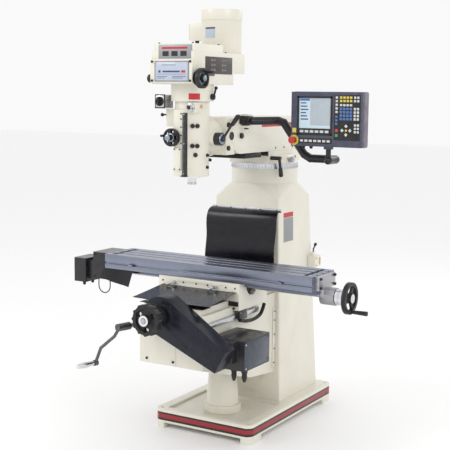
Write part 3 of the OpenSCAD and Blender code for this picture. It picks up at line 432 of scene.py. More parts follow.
door = plate("back_door", (-0.125, 0, 0.32), (0.125, 0.006, 0.92), cream_sheet, "frame", 0.003)
tip(door, (0, back_y, door_z), math.atan(back_lean), "X")
for k in range(7):
    z = 0.44 + k * 0.022
    louvre = plate("back_louvre_%d" % k, (-0.07, 0, z), (0.07, 0.009, z + 0.009), cream_sheet, "frame", 0.0035)
    louvre.data.transform(Matrix.Translation((0, back_y + 0.003 - (z - door_z) * back_lean, 0)))
bright = metal("bright_strip", (0.70, 0.71, 0.73), (0.52, 0.53, 0.56), 0.28, (30, 1, 1), 20.0, 0.0002)
plate("cover_clamp", (-0.214, -0.044, 1.166), (0.222, -0.0385, 1.185), bright, "frame", 0.0012)
fasteners("cover_clamp_screws", [(x, -0.044, 1.1755) for x in (-0.19, -0.095, 0.0, 0.095, 0.195)], to_front, 0.010,
          0.003, black_oxide, "frame")

# ---------------------------------------------------------------- way lubricator
# A small oil tank with a pull handle and a sight glass, screwed to the column's right side.
skin("lubricator", cream_sheet, 0.003)
skin("lubricator_lever", black_oxide, 0.0)
low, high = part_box("lubricator")
turned("lubricator_knob", (low[0] + 0.026, 0.357, 0.9465), (0, 0.8, 0.6),
       [(0, -0.012), (0.006, -0.011), (0.0085, -0.004), (0.0085, 0.003), (0.006, 0.008), (0, 0.009)], black_oxide,
       "oil_lever")
oil = blank("oil_glass")
finish(oil, Base_Color=shade(oil, grain(oil, 30.0), [(0.3, (0.55, 0.30, 0.05)), (0.8, (0.7, 0.42, 0.1))]),
       Roughness=0.12, Coat_Weight=0.6)
plate("oil_window", (high[0] - 0.001, low[1] + 0.050, low[2] + 0.012),
      (high[0] + 0.003, low[1] + 0.064, low[2] + 0.054), oil, "frame", 0.0016)
fasteners("lubricator_screws", [(high[0], low[1] + 0.012, low[2] + z) for z in (0.012, 0.054)], to_right, 0.009,
          0.004, zinc, "frame")
skin("knee_nut", metal("cast_bronze", (0.60, 0.38, 0.15), (0.42, 0.26, 0.10), 0.4), 0.002)

# ---------------------------------------------------------------- turret and its clamps
# The turret turns on the column's neck. A ground ring round its foot carries the angle marks,
# four square-necked bolts hold it, and a wiper closes the gap under the ram.
turret_y = 0.167
skin("turret", cream, 0.004)
turned("turret_ring", (0, turret_y, 1.3965), upwards, [(0.186, 0.0), (0.1885, 0.0), (0.1885, 0.030), (0.186, 0.032)],
       bright, "turret", 128)


def gather(name, start):
    """Joins like pieces into one, as marks cut in one face or heads in one row."""
    bpy.ops.object.select_all(action="DESELECT")
    parts = [o for o in bpy.data.objects if o.name.startswith(start)]
    for part in parts:
        part.select_set(True)
    bpy.context.view_layer.objects.active = parts[0]
    if len(parts) > 1:
        bpy.ops.object.join()
    parts[0].name = name
    return parts[0]


def dial_marks(name, lengths, foot, size, along, centre, axle, count, body):
    """Marks cut round a dial: slivers that grow one way by a row of lengths, each turned to its place."""
    for k in range(count):
        top = [a + b for a, b in zip(foot, size)]
        top[along] += lengths[k % len(lengths)]
        mark = plate(name[:-1], foot, top, black_oxide, body, 0.0001, 1)
        mark.data.transform(Matrix.Translation(centre) @ Matrix.Rotation(math.radians(360 / count * k), 4, axle))
    gather(name, name[:-1])


dial_marks("turret_marks", (0.020, 0.009, 0.014, 0.009, 0.014, 0.009), (0.1884, -0.0006, 1.3985), (0.0005, 0.0012, 0),
           2, (0, turret_y, 0), "Z", 72, "turret")
fasteners("turret_bolts", [(s * 0.139, turret_y + d, 1.4445) for s in (-1, 1) for d in (-0.085, 0.085)], upwards,
          0.026, 0.016, black_oxide, "turret", socket=False)
rubber = dark("ribbed_rubber", (0.010, 0.010, 0.011), 0.45, 260.0, 0.15)
plate("ram_wiper", (-0.122, -0.026, 1.471), (0.122, -0.0155, 1.494), rubber, "turret", 0.003)
skin("ram_lock_lever", black_oxide, 0.0015)
turned("ram_lock_tip", (0.177, 0.032, 1.362), (0, 22 / 98.5, -96 / 98.5),
       [(0, -0.045), (0.0085, -0.045), (0.0115, -0.038), (0.0125, 0.0), (0.009, 0.006), (0, 0.007)], black_oxide,
       "ram_lock")
skin("ram_pinion", metal("plain_steel", (0.55, 0.56, 0.58), (0.40, 0.41, 0.43), 0.32), 0.001)

# ---------------------------------------------------------------- ram and adapter
# A box section casting that slides in the turret; its nose carries the adapter, which nods
# on a cross bolt. A red line is painted along the side, and black bolts show at the joint.
skin("ram", cream, 0.009)
skin("ram_adapter", cream, 0.008)
skin("adapter_bolts", black_oxide, 0.0015)
for s in (-1, 1):
    stripe = plate("ram_line", (0, -0.10, -0.010), (0.0007, 0.26, 0.010), label_red, "ram", 0.0002, 1)
    stripe.data.transform(Matrix.Translation((s * 0.1252 - 0.00035, 0, 1.640)))
gather("ram_lines", "ram_line")
for s in (-1, 1):
    turned("adapter_plug", (s * 0.125, -0.418, 1.592), (s, 0, 0), [(0.016, -0.001), (0.021, 0.0), (0.021, 0.003),
             (0.016, 0.0035), (0.014, 0.001), (0, 0.001)], black_oxide, "adapter")
fasteners("ram_gib_screws", [(s * 0.125, y, 1.512) for s in (-1, 1) for y in (0.06, 0.16, 0.26)], to_right, 0.010,
          0.002, black_oxide, "ram")
# Painted shade: a dark strip under the ram's middle stands for the shade on its underside.
plate("ram_boot", (-0.118, -0.280, 1.468), (0.123, -0.095, 1.492), rubber, "ram", 0.004)

# ---------------------------------------------------------------- head castings
# The quill head, the back gear housing over it and the belt guard on top are three castings with a
# thin joint between each. Screws with sockets hold them, and the feed controls stand in their bosses.
spindle_y = -0.595
skin("head_housing", cream, 0.005)
skin("gear_housing", cream, 0.004)
skin("belt_housing", cream, 0.009)
black_paint = dark("black_paint", (0.013, 0.013, 0.015), 0.34, 320.0, 0.06, 0.3)
black_plastic = dark("black_plastic", (0.016, 0.016, 0.017), 0.42, 700.0, 0.15)
blue_steel = metal("blue_grey_steel", (0.42, 0.48, 0.56), (0.30, 0.35, 0.43), 0.33, (1, 1, 1), 80.0)
chrome = metal("chrome_plate", (0.80, 0.81, 0.83), (0.66, 0.67, 0.70), 0.14, (1, 1, 1), 40.0, 0.0001)
plate("feed_cover", (-0.046, -0.6955, 1.424), (-0.002, -0.689, 1.536), cream_sheet, "head", 0.002)
fasteners("feed_cover_screws", [(x, -0.6955, z) for x in (-0.040, -0.008) for z in (1.430, 1.530)], to_front, 0.007,
          0.003, black_oxide, "head")
fasteners("feed_cover_upper_screws", [(-0.004, -0.690, z) for z in (1.560, 1.600, 1.640, 1.680, 1.706)], to_front,
          0.007, 0.003, black_oxide, "head")
fasteners("quill_scale_screws", [(0.023, -0.705, z) for z in (1.411, 1.560, 1.703)], to_front, 0.007, 0.002, zinc,
          "head")
fasteners("head_clamp_screws", [(0.105, -0.600, 1.478), (0.084, -0.592, 1.440), (0.084, -0.592, 1.500)], to_right,
          0.016, 0.010, black_oxide, "head")
skin("depth_scale", black_paint, 0.0015)
for k in range(28):
    plate("scale_mark", (0.0135, -0.7054, 1.424 + k * 0.010), (0.0135 + (0.012 if k % 5 == 0 else 0.007), -0.7048,
            1.4252 + k * 0.010), bright, "head", 0.0001, 1)
gather("scale_marks", "scale_mark")
around = [math.radians(a) for a in (-150, -118, -62, -30, 30, 150)]
fasteners("gear_housing_screws", [(0.099 * math.cos(a), spindle_y + 0.099 * math.sin(a), 1.8462) for a in around],
          upwards, 0.010, 0.004, black_oxide, "head")


def wrap_round(tag, middle_y, radius, start):
    """Bends a flat label round a casting's barrel, its middle some degrees from the front."""
    edit_all()
    bpy.ops.mesh.subdivide(number_cuts=7)
    bpy.ops.object.mode_set(mode="OBJECT")
    for v in tag.data.vertices:
        turn, out = math.radians(start) + v.co.x / radius, radius + 0.0002 - v.co.y
        v.co = (out * math.sin(turn), middle_y - out * math.cos(turn), v.co.z)


tag = plate("feed_label", (-0.028, -0.0014, 1.776), (0.028, 0.0, 1.806), label_red, "head", 0.0004, 1)
wrap_round(tag, spindle_y, 0.108, 38)
for k, (turn, z) in enumerate(((34, 1.646), (50, 1.646), (34, 1.5475), (50, 1.5475), (44, 1.503))):
    across = Vector((math.sin(math.radians(turn)), -math.cos(math.radians(turn)), 0))
    turned("clamp_bolt_%d" % k, Vector((0, spindle_y, z)) + 0.085 * across, across,
           [(0, 0), (0.0115, 0), (0.0115, 0.004), (0.0085, 0.005), (0.0085, 0.015), (0.0075, 0.017), (0.004, 0.017),
             (0.004, 0.012), (0, 0.012)], black_oxide, "head", 32)
turned("oil_cup", (0.079, -0.640, 1.742), (0.92, -0.38, 0), [(0.0, -0.004), (0.009, -0.004), (0.009, 0.004),
         (0.006, 0.006), (0.006, 0.010), (0, 0.011)], metal("brass", (0.72, 0.52, 0.20), (0.55, 0.38, 0.13), 0.3),
       "head")

# ---------------------------------------------------------------- feed controls
# A plain wheel, levers with ball knobs, a stop dial and a drum switch: turned steel and black
# moulded knobs, each on its own short spindle.
skin("feed_wheel", black_plastic, 0.002)
turned("feed_wheel_disc", (-0.052, -0.7132, 1.588), to_front, [(0, -0.001), (0.020, -0.001), (0.020, 0.001),
         (0.017, 0.0022), (0, 0.0022)], blue_steel, "feed_wheel")
turned("feed_wheel_cap", (-0.052, -0.7405, 1.588), to_front, [(0.0, 0.0), (0.0155, 0.0), (0.0155, 0.002),
         (0.012, 0.004), (0, 0.0045)], blue_steel, "feed_wheel")
turned("feed_boss", (-0.0525, -0.670, 1.588), to_front, [(0.010, 0), (0.030, 0), (0.030, 0.004), (0.026, 0.006),
         (0.010, 0.006)], bright, "head")
skin("feed_lever", black_plastic, 0.0)
skin("range_lever", black_plastic, 0.0)
skin("quill_lever", black_paint, 0.0)
turned("quill_lever_hub", (0.138, -0.535, 1.580), to_right, [(0.012, 0), (0.026, 0), (0.027, 0.002), (0.024, 0.005),
         (0.0145, 0.006)], blue_steel, "quill_lever")
fasteners("quill_lever_screws", [(0.138, -0.535 + 0.029 * math.cos(a), 1.580 + 0.029 * math.sin(a))
            for a in [math.radians(k * 90 + 45) for k in range(4)]], to_right, 0.007, 0.003, black_oxide,
          "quill_lever")
turned("quill_lever_knob", (0.1767, -0.4357, 1.6964), (0.237, 0.625, 0.744),
       [(0, -0.062), (0.0095, -0.062), (0.0105, -0.055), (0.0115, -0.010), (0.0095, 0.0), (0.005, 0.004),
         (0, 0.0045)], black_plastic, "quill_lever")
skin("feed_dial", bright, 0.0015)
turned("feed_dial_face", (0.055, -0.7142, 1.738), to_front, [(0, -0.001), (0.0105, -0.001), (0.0105, 0.0006),
         (0.009, 0.0014), (0, 0.0014)], black_plastic, "feed_dial")
fasteners("feed_dial_spots", [(0.055 + dx, -0.7025, 1.738 + dz) for dx, dz in ((-0.0155, 0.006), (0.0155, -0.006))],
          to_front, 0.006, 0.002, black_oxide, "feed_dial")
skin("drum_switch", bright, 0.003)
plate("switch_border", (-0.160, -0.6945, 1.730), (-0.098, -0.690, 1.800), black_plastic, "head", 0.002)
plate("switch_face", (-0.154, -0.6955, 1.736), (-0.104, -0.6935, 1.794), bright, "head", 0.0008)
for k in range(4):
    z = 1.737 + 0.0185 * k
    plate("switch_rib", (-0.1588, -0.690, z), (-0.1576, -0.618, z + 0.004), black_plastic, "head", 0.0005, 1)
gather("switch_ribs", "switch_rib")
skin("switch_knob", black_plastic, 0.002)

# ---------------------------------------------------------------- speed changer and its plates
# A dished black handwheel changes the belt speed. The plates are printed sheet in a grey frame,
# and a moulded cap closes the guard on the left.
wheel_y, wheel_z = -0.748, 1.879
skin("speed_wheel", black_plastic, 0.002)
turned("speed_wheel_hub", (0.150, wheel_y, wheel_z), to_right, [(0.020, 0.0), (0.037, 0.0), (0.0372, 0.001),
         (0.030, 0.0025), (0.029, 0.0015), (0.023, 0.0015), (0.0205, 0.003)], blue_steel, "speed_wheel")
turned("speed_wheel_cap", (0.1698, wheel_y, wheel_z), to_right, [(0, -0.001), (0.014, -0.001), (0.014, 0.001),
         (0.011, 0.0025), (0, 0.003)], blue_steel, "speed_wheel")
turned("speed_wheel_seat", (0.1222, wheel_y, wheel_z), to_right, [(0.009, -0.001), (0.034, -0.001), (0.034, 0.003),
         (0.029, 0.006), (0.009, 0.006)], black_paint, "head")
skin("name_panel", cream_sheet, 0.003)
plate_grey = dark("plate_frame_grey", (0.20, 0.21, 0.23), 0.4, 500.0, 0.05)
print_blue = blank("printed_plate")
finish(print_blue, Base_Color=shade(print_blue, grain(print_blue, 12.0),
         [(0.3, (0.42, 0.47, 0.58)), (0.8, (0.50, 0.55, 0.65))]), Roughness=0.32, Coat_Weight=0.4)
ink = blank("printed_ink")
finish(ink, Base_Color=shade(ink, grain(ink, 80.0), [(0.3, (0.03, 0.05, 0.14)), (0.8, (0.05, 0.08, 0.19))]),
       Roughness=0.4)
plate("speed_plate_frame", (-0.094, -0.7918, 1.861), (0.106, -0.7898, 1.961), plate_grey, "head", 0.0008)
plate("speed_plate", (-0.087, -0.7924, 1.867), (0.099, -0.7914, 1.955), print_blue, "head", 0.0004)
for k, (x0, x1, z0, z1) in enumerate(((-0.052, 0.030, 1.940, 1.9425), (-0.070, -0.058, 1.9045, 1.9155),
          (-0.046, 0.054, 1.906, 1.914), (-0.080, 0.092, 1.8965, 1.8978), (-0.080, -0.020, 1.884, 1.8865),
          (-0.080, -0.032, 1.877, 1.8792), (0.010, 0.088, 1.884, 1.8865), (0.010, 0.070, 1.877, 1.8792))):
    plate("speed_plate_ink_%d" % k, (x0, -0.7928, z0), (x1, -0.7922, z1), ink, "head", 0.0001, 1)
plate("speed_plate_red", (0.062, -0.7928, 1.9045), (0.086, -0.7922, 1.9155), label_red, "head", 0.0001, 1)
fasteners("speed_plate_screws", [(x, -0.7918, z) for x in (-0.108, 0.114) for z in (1.866, 1.958)], to_front, 0.012,
          0.004, black_oxide, "head")
plate("upper_plate", (-0.082, -0.7755, 1.9715), (0.108, -0.768, 2.0385), plate_silver, "head", 0.0012)
plate("upper_plate_red_band", (-0.062, -0.7762, 2.018), (0.086, -0.7752, 2.028), label_red, "head", 0.0003, 1)
for k in range(3):
    plate("upper_plate_bar_%d" % k, (-0.058 + 0.052 * k, -0.7762, 1.984), (-0.022 + 0.052 * k, -0.7752, 2.008),
          black_paint, "head", 0.0003, 1)
chart = dark("chart_brown", (0.060, 0.050, 0.048), 0.4, 400.0, 0.06)
pale = dark("faint_print", (0.16, 0.15, 0.15), 0.4, 300.0, 0.02)
plate("speed_chart", (0.1212, -0.671, 1.902), (0.1240, -0.416, 1.986), chart, "head", 0.0012)
for row in range(3):
    for column in range(2):
        y, z = -0.612 + 0.102 * column, 1.914 + 0.024 * row
        turned("chart_disc_%d%d" % (row, column), (0.1239, y, z + 0.008), to_right,
               [(0, -0.0002), (0.007, -0.0002), (0.007, 0.0004), (0, 0.0004)], pale, "head", 20)
        plate("chart_line_%d%d" % (row, column), (0.1236, y + 0.012, z + 0.005), (0.1243, y + 0.036, z + 0.011), pale,
              "head", 0.0001, 1)
plate("speed_bar", (0.1212, -0.712, 1.893), (0.1272, -0.590, 1.903), black_paint, "head", 0.0015)
turned("guard_cap", (-0.1215, -0.750, 1.877), to_left, [(0, 0), (0.017, 0), (0.017, 0.012), (0.021, 0.016),
         (0.021, 0.030), (0.018, 0.034), (0.010, 0.0345), (0.010, 0.033), (0, 0.033)], black_plastic, "head")
turned("guard_cap_centre", (-0.1548, -0.750, 1.877), to_left, [(0, -0.001), (0.0095, -0.001), (0.0095, 0.0006),
         (0, 0.0012)], bright, "head")
fasteners("belt_guard_screws", [(s * 0.098, y, 2.0085) for s in (-1, 1) for y in (-0.440, -0.330)]
          + [(s * 0.098, y, 2.0455) for s in (-1, 1) for y in (-0.745, -0.510)], upwards, 0.010, 0.005, black_oxide,
          "head")

# ---------------------------------------------------------------- motor and the drive inside the guard
# A closed motor with a pressed fan cover and a cast box for its wires. Inside the guard are two
# grooved pulleys and a ribbed belt.
motor_y = -0.320
skin("motor", cream, 0.005)
plate("wire_box_lid", (-0.1795, -0.356, 2.084), (-0.1765, -0.284, 2.166), cream_sheet, "head", 0.0014)
fasteners("wire_box_screws", [(-0.1795, y, z) for y in (-0.350, -0.290) for z in (2.090, 2.160)], to_left, 0.007,
          0.003, zinc, "head")
turned("wire_gland", (-0.150, motor_y, 2.0805), downwards, [(0, -0.001), (0.011, -0.001), (0.011, 0.010),
         (0.0085, 0.011), (0.0085, 0.018), (0.005, 0.022), (0, 0.022)], black_plastic, "head", 24)
for name, z0, z1, lift, coat in (("motor_plate", 2.088, 2.132, 0.0, print_blue),
        ("motor_plate_band", 2.134, 2.142, 0.0002, ink)):
    tag = plate(name, (-0.030, -0.0012 - lift, z0), (0.030, 0.0, z1), coat, "head", 0.0003, 1)
    wrap_round(tag, motor_y, 0.104, -4)
for k in range(4):
    turned("fan_ring_%d" % k, (0, motor_y, 2.2325), upwards, [(0.018 + 0.018 * k, 0), (0.024 + 0.018 * k, 0),
             (0.024 + 0.018 * k, 0.0012), (0.018 + 0.018 * k, 0.0012)], black_paint, "head", 64)
tool_steel = metal("turned_steel", (0.56, 0.57, 0.59), (0.40, 0.41, 0.43), 0.30)
belt_rubber = dark("belt_rubber", (0.012, 0.012, 0.012), 0.6, 300.0, 0.2)
for node in ("motor_shaft", "spindle_pulley", "drawbar", "spindle_bearings"):
    skin(node, tool_steel, 0.0)
skin("drive_belt", belt_rubber, 0.0)
skin("spindle", chrome, 0.001)
skin("quill", chrome, 0.0012)
turned("spindle_nose_ring", (0, spindle_y, 1.3505), upwards, [(0.0162, 0.0), (0.0220, 0.0), (0.0232, 0.002),
         (0.0232, 0.010), (0.0220, 0.012)], tool_steel, "spindle")

# ---------------------------------------------------------------- knee
# A ribbed iron box gibbed to the column's dovetail. It carries the cross slide's flat ways, the
# elevating screw, the crank on a bevel shaft, and the drive that turns the cross screw.
skin("knee", cream, 0.007)
ground = metal("ground_steel", (0.27, 0.29, 0.36), (0.235, 0.255, 0.325), 0.30, (1, 50, 50), 20.0, 0.00012)
for s in (-1, 1):
    plate("knee_way_%d" % (s > 0), (s * 0.090, -0.7785, 0.7512), (s * 0.1585, -0.5015, 0.7525), ground, "knee",
          0.0004, 1)
plate("knee_front_plate", (-0.187, -0.7815, 0.450), (0.030, -0.778, 0.600), cream_sheet, "knee", 0.0012)
fasteners("knee_front_bolts", [(x, -0.7815, 0.470) for x in (-0.145, 0.016)], to_front, 0.012, 0.005, black_oxide,
          "knee")
plate("knee_gib", (0.1905, -0.062, 0.300), (0.1945, -0.037, 0.640), cream_sheet, "knee", 0.001)
fasteners("knee_gib_screws", [(0.1945, -0.0495, z) for z in (0.330, 0.410, 0.490, 0.570, 0.620)], to_right, 0.008,
          0.003, black_oxide, "knee")
skin("knee_screw", tool_steel, 0.0)
skin("crank_shaft", tool_steel, 0.0)
skin("knee_crank", metal("dark_steel", (0.17, 0.17, 0.18), (0.10, 0.10, 0.11), 0.36), 0.0)
skin("crank_grip", chrome, 0.001)
skin("y_scale", bright, 0.002)
plate("scale_reader", (0.2135, -0.490, 0.6545), (0.228, -0.410, 0.704), black_paint, "saddle", 0.002)
fasteners("scale_reader_screws", [(0.228, y, 0.692) for y in (-0.480, -0.420)], to_right, 0.007, 0.002, zinc,
          "saddle")

# ---------------------------------------------------------------- cross-feed drive and handwheel
# A pressed steel guard in wrinkled navy paint over two belt pulleys, a square motor with a black
# face, and a scalloped black handwheel in front of a chromed ring dial.
cross_z = 0.722
navy = dark("navy_wrinkle", (0.0045, 0.0055, 0.012), 0.36, 460.0, 0.2, 0.1)
skin("y_guard", navy, 0.002)
fasteners("guard_screws",
          [(x, -0.879, z) for x, z in ((0.066, 0.775), (-0.080, 0.700), (0.342, 0.590), (0.312, 0.505),
              (0.150, 0.585), (0.215, 0.680))], to_front, 0.009, 0.003, black_oxide, "knee")
skin("y_motor", black_paint, 0.004)
plate("y_motor_side", (0.3995, -0.735, 0.474), (0.4025, -0.487, 0.606), dark("motor_blue_grey", (0.035, 0.045, 0.062),
        0.4, 300.0, 0.1, 0.2), "knee", 0.001)
fasteners("y_motor_screws", [(0.4025, y, z) for y in (-0.728, -0.494) for z in (0.481, 0.599)], to_right, 0.009,
          0.004, zinc, "knee")
for k, x in enumerate((0.325, 0.384)):
    turned("motor_connector_%d" % k, (x, -0.705, 0.4645), downwards, [(0, -0.001), (0.016, -0.001), (0.016, 0.010),
             (0.013, 0.012), (0.013, 0.026), (0.014, 0.028), (0.012, 0.044), (0.006, 0.058), (0, 0.060)],
           black_plastic, "knee", 28)
skin("y_screw", tool_steel, 0.0)
skin("y_handwheel", black_plastic, 0.002)
turned("cross_dial", (0, -0.9835, cross_z), to_back, [(0.028, 0.012), (0.0465, 0.012), (0.0485, 0.016),
         (0.0485, 0.076), (0.0465, 0.080), (0.028, 0.080)], chrome, "y_screw", 96)
dial_marks("cross_dial_marks", (0.018, 0.010, 0.010, 0.010, 0.010), (0.0483, -0.935, -0.0005), (0.0004, 0, 0.001), 1,
           (0, 0, cross_z), "Y", 50, "y_screw")
turned("cross_hub_ring", (0, -1.0155, cross_z), to_front, [(0.0150, 0.0), (0.0262, 0.0), (0.0268, 0.001),
         (0.0262, 0.0022), (0.0150, 0.0022)], chrome, "y_screw", 64)
turned("cross_hub", (0, -1.0195, cross_z), to_front, [(0, 0.0), (0.0085, 0.0), (0.0105, -0.0015), (0.0125, -0.0015),
         (0.0125, -0.006), (0, -0.006)], blue_steel, "y_screw", 48)

# ---------------------------------------------------------------- saddle
# The iron cross slide between knee and table, with a round pocket for the nut's bearing on its
# right, a row of plugged oil holes in front and two locking levers.
skin("saddle", cream, 0.004)
# Painted shade: a flat black half disc laid in the pocket below the table darkens it as shade would.
turned("saddle_pocket", (0.2002, -0.365, 0.832), to_right, [(0, -0.0006), (0.0612, -0.0006), (0.0612, 0.0010),
         (0, 0.0010)], black_paint, "saddle", 48)
edit_all()
bpy.ops.mesh.bisect(plane_co=(0, 0, 0.8205), plane_no=(0, 0, 1), use_fill=True, clear_outer=True)
bpy.ops.object.mode_set(mode="OBJECT")
skin("saddle_nuts", metal("nut_bronze", (0.60, 0.38, 0.15), (0.42, 0.26, 0.10), 0.4), 0.0)
for node in ("table_lock_left", "table_lock_right"):
    skin(node, bright, 0.0)
for body, x in (("lock_left", -0.165), ("lock_right", 0.090)):
    turned("%s_ball" % body, (x - 0.0245, -0.5345, 0.8078), (-0.75, -0.62, -0.25),
           [(0, -0.008), (0.005, -0.008), (0.0075, -0.004), (0.0082, 0.0), (0.0065, 0.005), (0, 0.0075)], bright,
           body, 32)
fasteners("saddle_plugs", [(x, -0.500, 0.820) for x in (-0.240, -0.110, -0.030, 0.040, 0.150, 0.205)], to_front,
          0.009, 0.002, black_oxide, "saddle")
fasteners("saddle_gib_screws", [(x, -0.500, 0.716) for x in (-0.240, -0.205, 0.200)], to_front, 0.012, 0.005,
          black_oxide, "saddle")
plate("saddle_wiper_left", (-0.263, -0.5035, 0.728), (-0.170, -0.4995, 0.752), rubber, "saddle", 0.001)
plate("saddle_wiper_right", (0.168, -0.5035, 0.728), (0.226, -0.4995, 0.752), rubber, "saddle", 0.001)

# ---------------------------------------------------------------- table and its ends
# Ground iron with three T-slots and a coolant channel at each end. A cast bracket for the
# screw's bearing closes its right end, held by socket screws, with the dial and handwheel outside.
screw_y, screw_z = -0.365, 0.812
skin("table", ground, 0.0015)
skin("x_end_bracket", metal("cast_bracket", (0.50, 0.50, 0.53), (0.38, 0.38, 0.41), 0.34), 0.003)
fasteners("bracket_screws", [(0.660, y, z) for y in (-0.448, -0.286) for z in (0.862, 0.908)], to_right, 0.014, 0.008,
          black_oxide, "table")
skin("x_screw", tool_steel, 0.0)
turned("table_dial", (0.712, screw_y, screw_z), to_right, [(0.027, 0.001), (0.0375, 0.001), (0.0395, 0.003),
         (0.0395, 0.040), (0.0375, 0.043), (0.027, 0.043)], chrome, "x_screw", 80)
dial_marks("table_dial_marks", (0.015, 0.009, 0.009, 0.009, 0.009), (0.728, -0.0004, 0.0393), (0, 0.0008, 0.0004), 0,
           (0, screw_y, screw_z), "X", 40, "x_screw")
skin("x_handwheel", black_plastic, 0.003)
skin("x_grip", black_plastic, 0.001)
turned("table_hub", (0.797, screw_y, screw_z), to_right, [(0.0, 0.003), (0.010, 0.003), (0.012, 0.0015),
         (0.022, 0.0015), (0.0255, -0.001), (0.0262, -0.008), (0.0, -0.008)], chrome, "x_screw", 64)

# ---------------------------------------------------------------- pendant and its arm
# A bent steel tube swings the control pendant on a post. The case is moulded in two halves:
# a bezel with the screen and a membrane keypad, and a deeper back with screws.
arm_paint = dark("arm_paint", (0.010, 0.009, 0.011), 0.35, 380.0, 0.1, 0.25)
skin("pendant_arm", arm_paint, 0.0)
plate("arm_clamp", (0.128, -0.350, 1.650), (0.182, -0.290, 1.694), arm_paint, "pendant_arm", 0.005)
fasteners("arm_clamp_bolts", [(0.182, y, 1.660) for y in (-0.338, -0.302)], to_right, 0.012, 0.006, black_oxide,
          "pendant_arm")
turned("arm_bolt", (0.155, -0.318, 1.632), downwards, [(0, -0.002), (0.012, -0.002), (0.012, 0.006), (0.009, 0.008),
         (0, 0.008)], black_oxide, "pendant_arm", 24)
bezel_paint = dark("pendant_bezel", (0.052, 0.055, 0.085), 0.42, 500.0, 0.12, 0.1)
skin("pendant", bezel_paint, 0.004)
back_paint = dark("pendant_back", (0.150, 0.132, 0.165), 0.45, 500.0, 0.12)
plate("pendant_shell", (0.4205, -0.312, 1.5495), (0.8085, -0.2535, 1.8215), back_paint, "pendant", 0.008, 3)
fasteners("pendant_shell_screws", [(x, -0.2535, z) for x in (0.434, 0.795) for z in (1.563, 1.808)], to_back, 0.008,
          0.003, black_oxide, "pendant")
for k in range(9):
    plate("pendant_vent_%d" % k, (0.540, -0.2540, 1.640 + 0.014 * k), (0.690, -0.2528, 1.646 + 0.014 * k),
          black_paint, "pendant", 0.0005, 1)
for name, low, high in (("low", (0.458, -0.3412, 1.606), (0.652, -0.336, 1.616)),
                        ("top", (0.458, -0.3412, 1.789), (0.652, -0.336, 1.799)),
                        ("left", (0.458, -0.3412, 1.606), (0.469, -0.336, 1.799)),
                        ("right", (0.641, -0.3412, 1.606), (0.652, -0.336, 1.799)),
                        ("strip", (0.466, -0.3406, 1.612), (0.645, -0.3355, 1.640))):
    plate("screen_frame_%s" % name, low, high, black_plastic, "pendant", 0.0012)


def lit(name, colour, glow):
    """A lamp-lit or printed colour behind clear film."""
    mat = blank(name)
    fade = tuple(c * 0.9 for c in colour)
    finish(mat, Base_Color=shade(mat, grain(mat, 25.0), [(0.3, fade), (0.8, colour)]), Roughness=0.25,
           Coat_Weight=0.5, Emission_Color=tuple(colour), Emission_Strength=glow)
    return mat


screen = lit("screen_pale", (0.52, 0.66, 0.74), 0.10)
bar_blue = lit("screen_blue", (0.05, 0.14, 0.42), 0.08)
picture_grey = lit("screen_grey", (0.42, 0.47, 0.52), 0.05)
plate("screen", (0.468, -0.3372, 1.638), (0.643, -0.3355, 1.791), screen, "pendant", 0.0003, 1)
plate("screen_bar", (0.472, -0.3376, 1.776), (0.526, -0.3370, 1.787), bar_blue, "pendant", 0.0001, 1)
plate("screen_picture", (0.530, -0.3376, 1.655), (0.640, -0.3370, 1.787), picture_grey, "pendant", 0.0001, 1)
for k in range(3):
    turned("screen_circle_%d" % k, (0.5850, -0.3378, 1.721), to_front,
           [(0.012 * k + 0.0090, -0.0002), (0.012 * k + 0.0098, -0.0002), (0.012 * k + 0.0098, 0.0002),
             (0.012 * k + 0.0090, 0.0002)], screen, "pendant", 48)
for k in range(6):
    plate("screen_number_%d" % k, (0.477, -0.3376, 1.762 - 0.016 * k),
          (0.477 + 0.030 + 0.006 * (k % 3), -0.3370, 1.768 - 0.016 * k), ink, "pendant", 0.0001, 1)
plate("keypad", (0.662, -0.3415, 1.585), (0.800, -0.338, 1.806), black_plastic, "pendant", 0.0012)
plate("lower_strip", (0.468, -0.3412, 1.566), (0.652, -0.338, 1.592), black_plastic, "pendant", 0.0012)


def keys(name, x0, z0, across, down, step, size, coat):
    """A block of membrane keys: one domed key, copied along and down its grid."""
    first = plate(name + "_key", (x0, -0.3426, z0), (x0 + size[0], -0.3408, z0 + size[1]), coat, "pendant", 0.0007)
    for i in range(across):
        for j in range(down):
            if i or j:
                twin = bpy.data.objects.new(name + "_key", first.data.copy())
                bpy.context.collection.objects.link(twin)
                twin.data.transform(Matrix.Translation((i * step[0], 0, -j * step[1])))
    return gather(name, name + "_key")


key_white = lit("key_white", (0.62, 0.63, 0.62), 0.0)
key_yellow = lit("key_yellow", (0.72, 0.55, 0.06), 0.0)
key_blue = lit("key_blue", (0.06, 0.16, 0.42), 0.0)
key_red = lit("key_red", (0.62, 0.03, 0.03), 0.0)
key_green = lit("key_green", (0.04, 0.30, 0.10), 0.0)
keys("soft_keys", 0.476, 1.619, 6, 1, (0.0275, 0), (0.020, 0.012), key_white)
keys("mode_keys", 0.669, 1.788, 1, 5, (0, 0.0175), (0.012, 0.011), key_white)
keys("axis_keys", 0.692, 1.788, 4, 2, (0.0175, 0.0165), (0.0125, 0.0110), key_yellow)
keys("top_keys", 0.766, 1.788, 2, 2, (0.0165, 0.0165), (0.0115, 0.0110), key_white)
keys("middle_keys", 0.692, 1.752, 4, 1, (0.0175, 0), (0.0125, 0.0100), key_white)
keys("number_keys", 0.692, 1.733, 4, 4, (0.0175, 0.0165), (0.0130, 0.0120), key_blue)
keys("function_keys", 0.766, 1.733, 2, 4, (0.0165, 0.0165), (0.0115, 0.0120), key_white)
keys("side_keys", 0.669, 1.695, 1, 3, (0, 0.0175), (0.012, 0.011), key_blue)
keys("start_key", 0.669, 1.602, 1, 1, (0, 0), (0.015, 0.014), key_green)
keys("stop_key", 0.669, 1.626, 1, 1, (0, 0), (0.015, 0.014), key_red)
keys("low_keys", 0.478, 1.573, 7, 1, (0.0245, 0), (0.017, 0.011), key_white)
